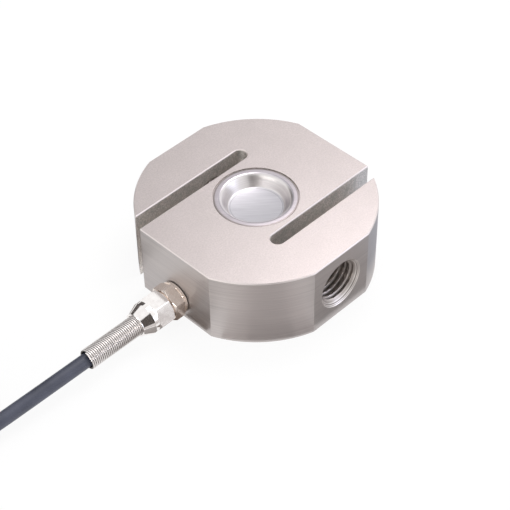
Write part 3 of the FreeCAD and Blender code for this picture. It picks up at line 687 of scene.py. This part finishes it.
class StageSizes(bpy.types.PropertyGroup):
    """The camera"""

    azimuth: angle("Azimuth", "Of the camera, from the front", -44.70)
    elevation: angle("Elevation", "Of the camera above the floor", 44.68)
    roll: angle("Roll", "Of the camera about its own axis", -0.85)
    distance: length("Distance", "From the camera to its target", 639.48)
    target: FloatVectorProperty(name="Target", description="What the camera looks at",
                                default=(-0.5575 * MM, 0.5974 * MM, 0.0), unit="LENGTH")
    lens: FloatProperty(name="Lens", description="Focal length", default=106.63, unit="CAMERA")


# --- pieces ----------------------------------------------------------------------------------
def settings():
    """The sizes and colours that the user has set."""
    return bpy.context.scene.load_cell


class LOADCELL_OT_body(bpy.types.Operator):
    """Gives the machined body its blasted faces and turned rim"""

    bl_idname = "load_cell.body"
    bl_label = "Body"

    def execute(self, context):
        material = blasted_and_turned_steel(settings().look)
        shell = NODES["body"].data.copy()
        piece("machined_body", shell, material, ["body"], 15.0)
        return {"FINISHED"}


class LOADCELL_OT_load_threads(bpy.types.Operator):
    """Cuts the load thread into both holes"""

    bl_idname = "load_cell.load_threads"
    bl_label = "Load Threads"

    def execute(self, context):
        sizes = settings().thread
        material = cut_thread_steel(settings().look)
        for name, side in (("front_thread", -1), ("rear_thread", 1)):
            mesh = thread_shell(name, sizes, side)
            piece(name, mesh, material, smooth_angle=28.0)
        return {"FINISHED"}


def thread_shell(name, sizes, side):
    """An internal thread. Along the axis the radius is a 60 degree vee between the crest and the
    root, cut off to a flat at each, and its phase turns once a pitch as the angle goes round. The
    countersink's cone then takes away whatever lies inside it, up to the flat."""
    flat, lap = BODY_HIGH.y, sizes.lap
    mouth_end = flat - (sizes.mouth_radius - sizes.root_radius)
    count = int((flat - lap - sizes.inner_end) / sizes.pitch * sizes.steps_per_pitch)
    along = np.linspace(sizes.inner_end, flat - lap, count)[:, None]
    angles = np.linspace(0, 2 * math.pi, sizes.segments, endpoint=False)[None, :]
    phase = (along / sizes.pitch + side * angles / (2 * math.pi)) % 1.0
    to_crest = np.abs(phase - 0.5) * sizes.pitch
    vee = sizes.crest_radius + (to_crest - sizes.pitch / 8) * math.tan(math.radians(60))
    radius = np.clip(vee, sizes.crest_radius, sizes.root_radius)
    radius = np.maximum(radius, sizes.mouth_radius - lap - (flat - along))
    along = np.broadcast_to(along, radius.shape)
    inner = np.stack([radius * np.cos(angles), side * along, MIDDLE + radius * np.sin(angles)], -1)
    back = [
        np.stack([
            r * np.cos(angles), np.full_like(angles, side * y), MIDDLE + r * np.sin(angles)], -1)
        for y, r in ((flat - lap, sizes.mouth_radius + lap), (mouth_end, sizes.shell_radius),
                     (sizes.inner_end, sizes.shell_radius))
    ]
    return surface(name, np.concatenate([inner] + back), close_u=True, close_v=True)


class LOADCELL_OT_sealing_cups(bpy.types.Operator):
    """Presses the sealing cups of both faces"""

    bl_idname = "load_cell.sealing_cups"
    bl_label = "Sealing Cups"

    def execute(self, context):
        material = pressed_bright_sheet(settings().look)
        for side, up in (("upper", 1), ("lower", -1)):
            mesh = cup_shell(side + "_cup", settings().cup, up)
            piece(side + "_cup", mesh, material, [side + "_sealing_cup"], 40.0)
        return {"FINISHED"}


# Where the cup floor's rise is worked out, as shares of its radius.
DISH_SHARES = (0.92, 0.84, 0.76, 0.68, 0.58, 0.48, 0.36, 0.2)
# How near to the axis the cup's section starts, so that its middle closes without a hole.
AXIS_GAP = 0.02 * MM
# The longest step along the section of a cup, and of the gland's base and nut.
CUP_STEP = 0.35 * MM
GLAND_STEP = 0.15 * MM


def cup_shell(name, sizes, up):
    """A pressed cup: the sheet's section, a flange, a tapered wall and a floor joined by bends,
    turned about the Z axis. The floor rises towards its edge with the square of the radius.
    up is -1 for the cup that faces down."""
    top = CUP_TOP
    floor = top - sizes.depth
    low = floor - sizes.dish / 2
    taper = math.atan2(sizes.mouth_radius - sizes.floor_radius, sizes.depth)
    wall = sizes.sheet * (1 / math.cos(taper) - math.tan(taper))
    corners = [
        (top - sizes.sheet, sizes.flange_radius, sizes.edge),
        (top - sizes.crown, sizes.flange_radius, sizes.edge),
        (top, sizes.mouth_radius, sizes.mouth_bend + sizes.sheet),
        (low + sizes.dish, sizes.floor_radius, sizes.floor_bend),
        *((low + sizes.dish * share ** 2, sizes.floor_radius * share, 0) for share in DISH_SHARES),
        (low, AXIS_GAP, 0),
        (floor - sizes.sheet, AXIS_GAP, 0),
        (floor - sizes.sheet, sizes.floor_radius + wall, sizes.floor_bend + sizes.sheet),
        (top - sizes.sheet, sizes.mouth_radius + wall, sizes.mouth_bend),
    ]
    profile = rounded_profile(corners, CUP_STEP)
    angles = np.linspace(0, 2 * math.pi, sizes.segments, endpoint=False)
    height = profile[:, 0][:, None] if up > 0 else 2 * MIDDLE - profile[:, 0][:, None]
    radius = profile[:, 1][:, None]
    height = np.broadcast_to(height, (len(profile), sizes.segments))
    grid = np.stack([radius * np.cos(angles), radius * np.sin(angles), height], -1)
    return surface(name, grid, close_u=True, close_v=True)


class LOADCELL_OT_gland(bpy.types.Operator):
    """Makes the cable gland: its base and its nut, both with a hexagon"""

    bl_idname = "load_cell.gland"
    bl_label = "Cable Gland"

    def execute(self, context):
        look, sizes = settings().look, settings().gland
        dull = nickel_plate("nickel_plated_base", look.base_light, look.base_dark, 0.20, 0.28)
        bright = nickel_plate("nickel_plated_nut", look.nut_light, look.nut_dark, 0.05, 0.12)
        base, nut = gland_base_shell("gland_body", sizes), gland_nut_shell("gland_cap", sizes)
        piece("gland_body", base, dull, ["gland_base"], 24.0)
        piece("gland_cap", nut, bright, ["gland_nut"], 24.0)
        return {"FINISHED"}


def gland_base_shell(name, sizes):
    """Spigot, collar, hexagon and neck, and the bore back through them, as one closed profile of
    (station out from the flat, radius) in millimetres, with each corner's rounding."""
    soft, sharp = sizes.rounding, sizes.rounding / 3
    corners = [
        (-7.0, 5.0, sharp), (0.4, 5.0, 0), (0.4, 7.2, sharp), (1.5, 7.35, 0), (2.1, 8.07, soft),
        (6.3, 8.07, soft), (6.9, 7.0, sharp), (6.9, 6.0, 0), (13.9, 6.0, sharp), (13.9, 4.6, sharp),
        (8.0, 4.6, 0), (8.0, 3.3, 0), (4.0, 3.3, 0), (4.0, 2.2, 0), (-7.0, 2.2, sharp),
    ]
    profile = rounded_profile([(s * MM, r * MM, e) for s, r, e in corners], GLAND_STEP)
    hexagon = (1.6 * MM, 6.95 * MM, sizes.across_flats, math.degrees(sizes.base_turn), 6.4 * MM)
    return lathe(name, profile, sizes.segments, [hexagon], sizes.corner_edge)


def gland_nut_shell(name, sizes):
    """Hexagon, turned shoulder, cone and nose, and the bore back through them, as one closed
    profile of (station out from the flat, radius) in millimetres, with each corner's rounding."""
    soft, sharp = sizes.rounding, sizes.rounding / 3
    corners = [
        (7.6, 6.1, sharp), (7.6, 7.0, sharp), (8.2, 8.07, soft), (15.0, 8.07, soft),
        (15.6, 7.05, sharp), (17.4, 7.05, 2 * soft), (22.0, 5.2, sharp), (22.4, 5.2, sharp),
        (22.4, 4.4, sharp), (15.7, 4.4, 0), (15.7, 3.3, 0), (14.6, 3.3, 0), (14.6, 6.1, 0),
    ]
    profile = rounded_profile([(s * MM, r * MM, e) for s, r, e in corners], GLAND_STEP)
    hexagon = (7.65 * MM, 15.6 * MM, sizes.across_flats, math.degrees(sizes.nut_turn), 6.5 * MM)
    return lathe(name, profile, sizes.segments, [hexagon], sizes.corner_edge)


class LOADCELL_OT_spring(bpy.types.Operator):
    """Winds the strain relief spring"""

    bl_idname = "load_cell.spring"
    bl_label = "Strain Relief Spring"

    def execute(self, context):
        sizes = settings().spring
        mesh = spring_coil("relief_spring", sizes)
        piece("relief_spring", mesh, spring_wire(settings().look),
              ["strain_relief_spring"], 50.0)
        return {"FINISHED"}


def spring_coil(name, sizes):
    """A round wire on a helix: the wire's middle goes once round the gland's axis while it moves
    along by one pitch, and each section circle lies square to the helix. A point at each end
    closes the wire."""
    wire = sizes.wire / 2
    mean = (SPRING_HIGH.z - SPRING_LOW.z) / 2 - wire
    start, end = SPRING_HIGH.x - wire, SPRING_LOW.x + wire
    turn = np.linspace(0, 2 * math.pi * sizes.turns, sizes.turns * sizes.steps_per_turn + 1)
    pitch = (end - start) / turn[-1]
    middle = np.stack([
        start + pitch * turn, mean * np.sin(turn), GLAND_AXIS_Z + mean * np.cos(turn)], -1)
    along = np.stack([np.full_like(turn, pitch), mean * np.cos(turn), -mean * np.sin(turn)], -1)
    along /= np.linalg.norm(along, axis=1)[:, None]
    outward = np.stack([np.zeros_like(turn), np.sin(turn), np.cos(turn)], -1)
    across = np.cross(along, outward)
    around = np.linspace(0, 2 * math.pi, sizes.sides, endpoint=False)
    ring = (np.cos(around)[None, :, None] * outward[:, None]
            + np.sin(around)[None, :, None] * across[:, None])
    grid = middle[:, None] + wire * ring
    caps = [middle[[i], None].repeat(sizes.sides, 1) for i in (0, -1)]
    return surface(name, np.concatenate([caps[0], grid, caps[1]]), close_u=True)


class LOADCELL_OT_cable(bpy.types.Operator):
    """Lays the cable from the gland to its coil, with the end on top, and ties the coil"""

    bl_idname = "load_cell.cable"
    bl_label = "Cable"

    def execute(self, context):
        sizes, look = settings().cable, settings().look
        curve = bpy.data.curves.new("signal_cable", "CURVE")
        curve.dimensions = "3D"
        points = cable_line(sizes)
        line = curve.splines.new("NURBS")
        line.points.add(len(points) - 1)
        line.points.foreach_set("co", np.column_stack([points, np.ones(len(points))]).ravel())
        line.order_u = 3
        line.use_endpoint_u = True
        line.resolution_u = 5
        curve.bevel_depth = sizes.diameter / 2
        curve.bevel_resolution = 6
        curve.use_fill_caps = True
        curve.materials.append(extruded_pvc(look))
        cable = bpy.data.objects.new("signal_cable", curve)
        context.scene.collection.objects.link(cable)
        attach(cable, ROOT)
        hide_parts("cable", "cable_coil", "cable_tail")
        nylon = mottled("nylon_tie", "#1E1E22", "#151518", 0.34, 0.46, ior=1.53, size=1.5)
        straps = tie_shells("cable_ties", settings().tie, sizes)
        ties = piece("cable_ties", straps, nylon, ["coil_ties"])
        return {"FINISHED"}


# The free run's points, in metres, out of the spring and down to the coil.
CABLE_ROUTE = np.array([
    (-0.0500, 0.0000, 0.0093),
    (-0.0980, 0.0000, 0.0093),
    (-0.1460, 0.0024, 0.0062),
    (-0.1841, 0.0062, 0.0039),
])
# Round the coil: where the cable reaches it, how far it turns in a layer and while it climbs to
# the next one, and how far the last stretch turns. The leads are bare past their tips' angle.
COIL_ENTRY = math.radians(-95.4)
LAYER_TURN = math.radians(1114.9)
CLIMB = math.radians(60.0)
TAIL_TURN = math.radians(45.0)
LEAD_TIP_ANGLE = math.radians(-232.0)
# The leads, with the two tones of their insulation.
LEADS = (
    ("lead_white", "#E8E7E2", "#DAD9D3"),
    ("lead_green", "#17703A", "#11602F"),
    ("lead_shield", "#D8BE2C", "#C8AE22"),
    ("lead_black", "#1A1A1E", "#121216"),
    ("lead_red", "#B81C22", "#A3161C"),
)


def whole_turn(sizes):
    """The angle that the cable turns through from where it reaches the coil to its end."""
    return sizes.layers * (LAYER_TURN + CLIMB) + TAIL_TURN


def coil_place(sizes, turned):
    """The cable's radius and height once it has turned by an angle round the coil. In each layer
    the radius goes steadily from the outer turn to the inner one or back, and between layers the
    cable climbs by its own diameter. A last climb takes it onto the coil, where its end lies."""
    low, last = CABLE_ROUTE[-1][2], sizes.layers - 1
    layer = np.minimum(turned // (LAYER_TURN + CLIMB), last)
    within = turned - layer * (LAYER_TURN + CLIMB)
    share = np.clip(within / LAYER_TURN, 0, 1)
    climb = np.clip((within - LAYER_TURN) / CLIMB, 0, 1)
    inward = np.where(layer % 2 == 0, share, 1 - share)
    radius = sizes.outer_turn + (sizes.inner_turn - sizes.outer_turn) * inward
    rise = climb * climb * (3 - 2 * climb)
    height = low + (layer + rise) * sizes.diameter
    top = layer == last
    last_rise = sizes.tail_height - low - last * sizes.diameter
    height = np.where(top, low + last * sizes.diameter + rise * last_rise, height)
    radius = np.where(top, radius + climb ** 3 * (sizes.tail_radius - sizes.outer_turn), radius)
    return radius, height


def cable_line(sizes):
    """The route's points, then the coil's. The points stand out by one over the cosine of half
    their spacing, because the line cuts inside them, but it ends on the last one."""
    step = 2 * math.pi / sizes.per_turn
    whole = whole_turn(sizes)
    turned = np.linspace(0, whole, int(round(whole / step)) + 1)[1:]
    radius, height = coil_place(sizes, turned)
    around = COIL_ENTRY - turned
    radius[:-1] /= math.cos(step / 2)
    coil = np.stack([COIL_CENTRE.x + radius * np.cos(around),
                     COIL_CENTRE.y + radius * np.sin(around), height], -1)
    return np.concatenate([CABLE_ROUTE, coil])


def tie_shells(name, sizes, cable):
    """Two ties round the coil, each a strap, a head and the strap's cut end. The strap is a
    stretched loop: in each direction it lies past the farthest turn's middle by the cable's
    radius, so it is straight between the turns that it touches."""
    around = np.linspace(0, 2 * math.pi, sizes.segments, endpoint=False)
    direction = np.stack([np.cos(around), np.sin(around)], -1)
    half = sizes.width / 2
    long, wide, tall = sizes.head_length / 2, sizes.head_width / 2, sizes.head_height
    grids = []
    for held_at in sizes.angles:
        turned = np.arange((COIL_ENTRY - held_at) % (2 * math.pi), whole_turn(cable), 2 * math.pi)
        middles = np.stack(coil_place(cable, turned), -1)
        farthest = middles[np.argmax(middles @ direction.T, axis=0)]
        inner = farthest + direction * cable.diameter / 2
        outer = farthest + direction * (cable.diameter / 2 + sizes.thickness)
        strap = [(inner, -half), (outer, -half), (outer, half), (inner, half)]
        strap = np.stack([np.insert(loop, 1, side, axis=1) for loop, side in strap])
        top = inner[:, 1].max()
        place = (inner[:, 0].min() + inner[:, 0].max()) / 2
        head = block_grid(place - long, place + long, wide, top + 0.1 * MM, top + tall, 0.4 * MM)
        low = top + tall * 0.45
        stub = block_grid(place + long - 0.2 * MM, place + long + sizes.stub, half, low,
                          low + sizes.thickness, 0.1 * MM)
        along = np.array([math.cos(held_at), math.sin(held_at), 0.0])
        aside = np.array([-math.sin(held_at), math.cos(held_at), 0.0])
        for grid, closed in ((strap, True), (head, False), (stub, False)):
            placed = grid[..., :1] * along + grid[..., 1:2] * aside + grid[..., 2:] * (0, 0, 1)
            grids.append((placed + (COIL_CENTRE.x, COIL_CENTRE.y, 0), True, closed))
    return shells(name, grids)


def block_grid(first, last, half_width, low, high, edge):
    """A block with rounded corners and bevelled ends, as sections of one outline at rising
    heights. The first and the last section are shrunk to the outline's middle."""
    middle = (first + last) / 2
    reach = (last - first) / 2
    corners = [(-reach, -half_width, edge), (reach, -half_width, edge), (reach, half_width, edge),
               (-reach, half_width, edge)]
    ring = rounded_profile(corners, 1.0)
    inset = 1 - edge / half_width
    levels = ((low, 0), (low, 1), (high - edge, 1), (high, inset), (high, 0))
    return np.stack([np.column_stack([middle + ring[:, 0] * share, ring[:, 1] * share,
                                      np.full(len(ring), level)]) for level, share in levels])


class LOADCELL_OT_cable_end(bpy.types.Operator):
    """Gives the cable's end its sleeve and its coloured leads"""

    bl_idname = "load_cell.cable_end"
    bl_label = "Cable End"

    def execute(self, context):
        for node, first, second in LEADS:
            dress(node, lead_insulation("insulation_" + node, first, second))
        shrunk = mottled("shrunk_polyolefin", "#1B1B1F", "#131316", 0.40, 0.52, size=2.0)
        dress("cable_end_sleeve", shrunk)
        return {"FINISHED"}


class LOADCELL_OT_inner_pieces(bpy.types.Operator):
    """Gives the sealed pieces inside the cell and the gland their finishes"""

    bl_idname = "load_cell.inner_pieces"
    bl_label = "Inner Pieces"

    def execute(self, context):
        film, board, copper = gauge_film(), circuit_board(), enamelled_copper()
        rubber = mottled("nitrile_rubber", "#3A3633", "#2C2927", 0.55, 0.70, size=0.8)
        nylon = mottled("turned_nylon", "#E6E4DC", "#D8D6CE", 0.38, 0.50, size=1.2)
        chip = mottled("glazed_chip", "#1A1B20", "#101115", 0.28, 0.40, size=0.5)
        for node, material in (
            ("upper_strain_gauge", film), ("lower_strain_gauge", film),
            ("upper_terminal_board", board), ("lower_terminal_board", board),
            ("trim_resistors", chip), ("upper_gauge_wires", copper), ("lower_gauge_wires", copper),
            ("through_wires", copper), ("core_wires", coloured_cores()),
            ("gland_gasket", rubber), ("cable_seal", rubber), ("thrust_ring", nylon),
        ):
            dress(node, material)
        return {"FINISHED"}


# --- stage -----------------------------------------------------------------------------------
# The white surround lights the cell a little less brightly than it shows.
SURROUND_LIGHT = 0.95
# How much of the floor's own shade gives way to plain white, in metal and to the camera.
FLOOR_WHITE_IN_METAL = 0.8
FLOOR_WHITE_SEEN = 0.88


def background_ray(tree):
    """1 for a ray from the camera, and for one that metal or glass sends on."""
    camera_ray, metal_ray, glass_ray = (
        add(tree, "LightPath", {}, f"Is {kind} Ray")
        for kind in ("Camera", "Glossy", "Transmission"))
    either = add(tree, "Math", {0: camera_ray, 1: metal_ray}, operation="MAXIMUM")
    return add(tree, "Math", {0: either, 1: glass_ray}, operation="MAXIMUM")


def softbox(name, place, target, width, height, watts, tint):
    """A soft rectangular lamp that faces its target and that the camera doesn't see."""
    lamp = bpy.data.lights.new(name, "AREA")
    lamp.shape = "RECTANGLE"
    lamp.size, lamp.size_y, lamp.energy = width, height, watts
    lamp.color = linear(tint)[:3]
    obj = bpy.data.objects.new(name, lamp)
    obj.location = place
    obj.rotation_euler = (Vector(target) - Vector(place)).to_track_quat("-Z", "Y").to_euler()
    obj.visible_camera = False
    bpy.context.scene.collection.objects.link(obj)


class LOADCELL_OT_stage(bpy.types.Operator):
    """Sets up the floor, the soft lights, the surround and the camera"""

    bl_idname = "load_cell.stage"
    bl_label = "Stage"

    def execute(self, context):
        scene = context.scene
        scene.view_settings.view_transform = "Standard"
        floor_sheet()
        # Sheets of painted shade, seen only in metal as painted reflections.
        for name, grid, shade in SHADE_SHEETS:
            mirrored_shade_sheet(name, grid, shade)
        scene.world = white_surround()
        for box in SOFTBOXES:
            softbox(*box)
        scene.camera = camera(settings().stage)
        return {"FINISHED"}


def white_surround():
    """A plain white world, a little dimmer as a light than as a background."""
    world = bpy.data.worlds.new("studio")
    world.use_nodes = True
    tree = world.node_tree
    background = tree.nodes["Background"]
    background.inputs["Color"].default_value = linear("#FFFFFF")
    join(tree, background, "Strength", add(tree, "Mix", {
        0: background_ray(tree), 2: SURROUND_LIGHT, 3: 1.0}))
    return world


def floor_sheet():
    """A white floor. Its paper keeps the cell's shadow, and part of it gives way to plain white
    for rays that show it, so that it melts into the surround."""
    half = 2.0
    grid = np.array([[(-half, -half, 0), (half, -half, 0)], [(-half, half, 0), (half, half, 0)]])
    obj = bpy.data.objects.new("white_floor", surface("white_floor", grid))
    bpy.context.scene.collection.objects.link(obj)
    made, tree, shader = finish_of("white_paper", Roughness=0.9)
    shader.inputs["Base Color"].default_value = linear("#F9F9F9")
    white = add(tree, "Emission", {"Color": "#FFFFFF", "Strength": 1.0})
    seen = add(tree, "LightPath", {}, "Is Camera Ray")
    most = add(tree, "Mix", {0: seen, 2: FLOOR_WHITE_IN_METAL, 3: FLOOR_WHITE_SEEN})
    share = add(tree, "Math", {0: background_ray(tree), 1: most}, operation="MULTIPLY")
    both = add(tree, "MixShader", {0: share, 1: shader.outputs[0], 2: white})
    join(tree, tree.nodes["Material Output"], "Surface", both)
    obj.data.materials.append(made)


def mirrored_shade_sheet(name, grid, shade):
    """A sheet of painted shade that shows only in polished metal: a painted reflection, to give it
    something darker to mirror.
    """
    obj = bpy.data.objects.new(name, surface(name, grid))
    bpy.context.scene.collection.objects.link(obj)
    made, _, shader = finish_of(name, Roughness=1.0)
    shader.inputs["Base Color"].default_value = linear(shade)
    obj.data.materials.append(made)
    # Only metal sees it: a painted reflection of shade.
    obj.visible_camera = False
    obj.visible_shadow = False
    obj.visible_diffuse = False


def standing(first, last, tall):
    """A grid for a sheet of painted shade that stands on the floor from the first (x, y) to the
    last.
    """
    return np.array([[(*first, MM), (*last, MM)], [(*first, tall), (*last, tall)]])


def lying(low, high, height=MM):
    """A grid for a sheet of painted shade that lies on the floor between two corners (x, y)."""
    return np.array([[(low[0], low[1], height), (high[0], low[1], height)],
                     [(low[0], high[1], height), (high[0], high[1], height)]])


def lying_round(first, last, inner, outer, height=MM):
    """A grid for a sheet of painted shade that lies on the floor between two angles in degrees and
    two radii.
    """
    angles = np.radians(np.linspace(first, last, 25))
    return np.stack([
        np.stack([r * np.cos(angles), r * np.sin(angles), np.full_like(angles, height)], -1)
        for r in (inner, outer)
    ])


# The sheets of painted shade, seen only in metal, as (name, grid, colour). Where some overlap, the
# darker one lies higher.
SHADE_SHEETS = (
    ("camera_side_shade_panel", standing((-1.15, -0.62), (-0.62, -1.15), 0.60), "#8A8682"),
    ("near_side_shade_panel", standing((-0.24, -0.25), (-0.09, -0.25), 0.56), "#4A4542"),
    ("far_side_shade_panel", standing((-0.10, 0.30), (0.14, 0.30), 0.28), "#4A4644"),
    ("camera_side_floor_shade", lying_round(-152, -105, 0.0503, 0.13), "#E3E0DF"),
    ("camera_side_deeper_floor_shade", lying_round(-146, -108, 0.0503, 0.13, 0.0013), "#D6D2D1"),
    ("camera_side_deepest_floor_shade", lying_round(-140, -117, 0.0503, 0.13, 0.0016), "#C3BFBE"),
    ("near_side_floor_shade", lying_round(-97, -62, 0.076, 0.30), "#BAB6B4"),
    ("far_side_floor_shade", lying_round(-60, -15, 0.054, 0.30), "#B8BDC5"),
    ("thread_side_floor_shade", lying((-0.013, -0.075), (0.050, -0.049)), "#A8A5A3"),
    ("near_floor_shade", lying((-0.24, -0.25), (-0.072, -0.085), 0.002), "#4A4542"),
    ("cone_floor_shade", lying((-0.080, -0.085), (-0.064, -0.0235), 0.002), "#C0BCBA"),
    ("nut_floor_shade", lying((-0.085, -0.023), (-0.060, -0.006)), "#A09C9A"),
    ("base_floor_shade", lying((-0.0580, -0.0165), (-0.0465, -0.0040)), "#8A807A"),
    ("left_end_floor_shade", lying((-0.064, 0.032), (-0.030, 0.060)), "#6E6965"),
)

# The soft boxes, as (name, place, target, width, height, watts, colour).
SOFTBOXES = (
    ("near_box", (0.15, 0.02, 0.345), (0.01, -0.01, 0.033), 0.16, 0.16, 0.47, "#FFFBFB"),
    ("left_box", (-0.58, -0.12, 0.045), (-0.04, -0.02, 0.015), 0.50, 0.07, 1.9, "#FFFAF4"),
    ("right_box", (0.55, -0.80, 0.30), (0.0, 0.0, 0.0), 0.5, 0.5, 1.2, "#DCE4FF"),
)


def camera(sizes):
    """A camera that looks at its target from the azimuth and elevation, turned by the roll."""
    az, el = sizes.azimuth, sizes.elevation
    back = Vector((math.sin(az) * math.cos(el), -math.cos(az) * math.cos(el), math.sin(el)))
    right = Vector((math.cos(az), math.sin(az), 0))
    up = back.cross(right)
    across = math.cos(sizes.roll) * right + math.sin(sizes.roll) * up
    upward = math.cos(sizes.roll) * up - math.sin(sizes.roll) * right
    data = bpy.data.cameras.new("camera")
    data.lens = sizes.lens
    data.sensor_width = 36.0
    data.clip_start, data.clip_end = 0.01, 20.0
    obj = bpy.data.objects.new("camera", data)
    place = Vector(sizes.target) + back * sizes.distance
    turned = Matrix((across, upward, back)).transposed().to_4x4()
    obj.matrix_world = Matrix.Translation(place) @ turned
    bpy.context.scene.collection.objects.link(obj)
    return obj


# --- add-on ----------------------------------------------------------------------------------
class LoadCellSettings(bpy.types.PropertyGroup):
    """All of the load cell's sizes and colours"""

    look: PointerProperty(type=LoadCellLook)
    thread: PointerProperty(type=LoadThreadSizes)
    cup: PointerProperty(type=CupSizes)
    gland: PointerProperty(type=GlandSizes)
    spring: PointerProperty(type=SpringSizes)
    cable: PointerProperty(type=CableSizes)
    tie: PointerProperty(type=TieSizes)
    stage: PointerProperty(type=StageSizes)


OPERATORS = (
    LOADCELL_OT_stage,
    LOADCELL_OT_cable,
    LOADCELL_OT_cable_end,
    LOADCELL_OT_body,
    LOADCELL_OT_load_threads,
    LOADCELL_OT_sealing_cups,
    LOADCELL_OT_gland,
    LOADCELL_OT_spring,
    LOADCELL_OT_inner_pieces,
)


class LOADCELL_PT_panel(bpy.types.Panel):
    """Lists the load cell's pieces"""

    bl_label = "Load Cell"
    bl_idname = "LOADCELL_PT_panel"
    bl_space_type = "VIEW_3D"
    bl_region_type = "UI"
    bl_category = "Load Cell"

    def draw(self, context):
        for operator in OPERATORS:
            self.layout.operator(operator.bl_idname)


CLASSES = (
    LoadCellLook, LoadThreadSizes, CupSizes, GlandSizes, SpringSizes, CableSizes, TieSizes,
    StageSizes, LoadCellSettings, *OPERATORS, LOADCELL_PT_panel,
)


def register():
    """Makes the load cell's classes and settings known to Blender."""
    for made in CLASSES:
        bpy.utils.register_class(made)
    bpy.types.Scene.load_cell = PointerProperty(type=LoadCellSettings)


def unregister():
    """Takes them away again."""
    del bpy.types.Scene.load_cell
    for made in reversed(CLASSES):
        bpy.utils.unregister_class(made)


def main():
    """Makes the whole load cell, one operator after another."""
    register()
    for operator in OPERATORS:
        group, name = operator.bl_idname.split(".")
        getattr(getattr(bpy.ops, group), name)()


if __name__ == "__main__":
    main()
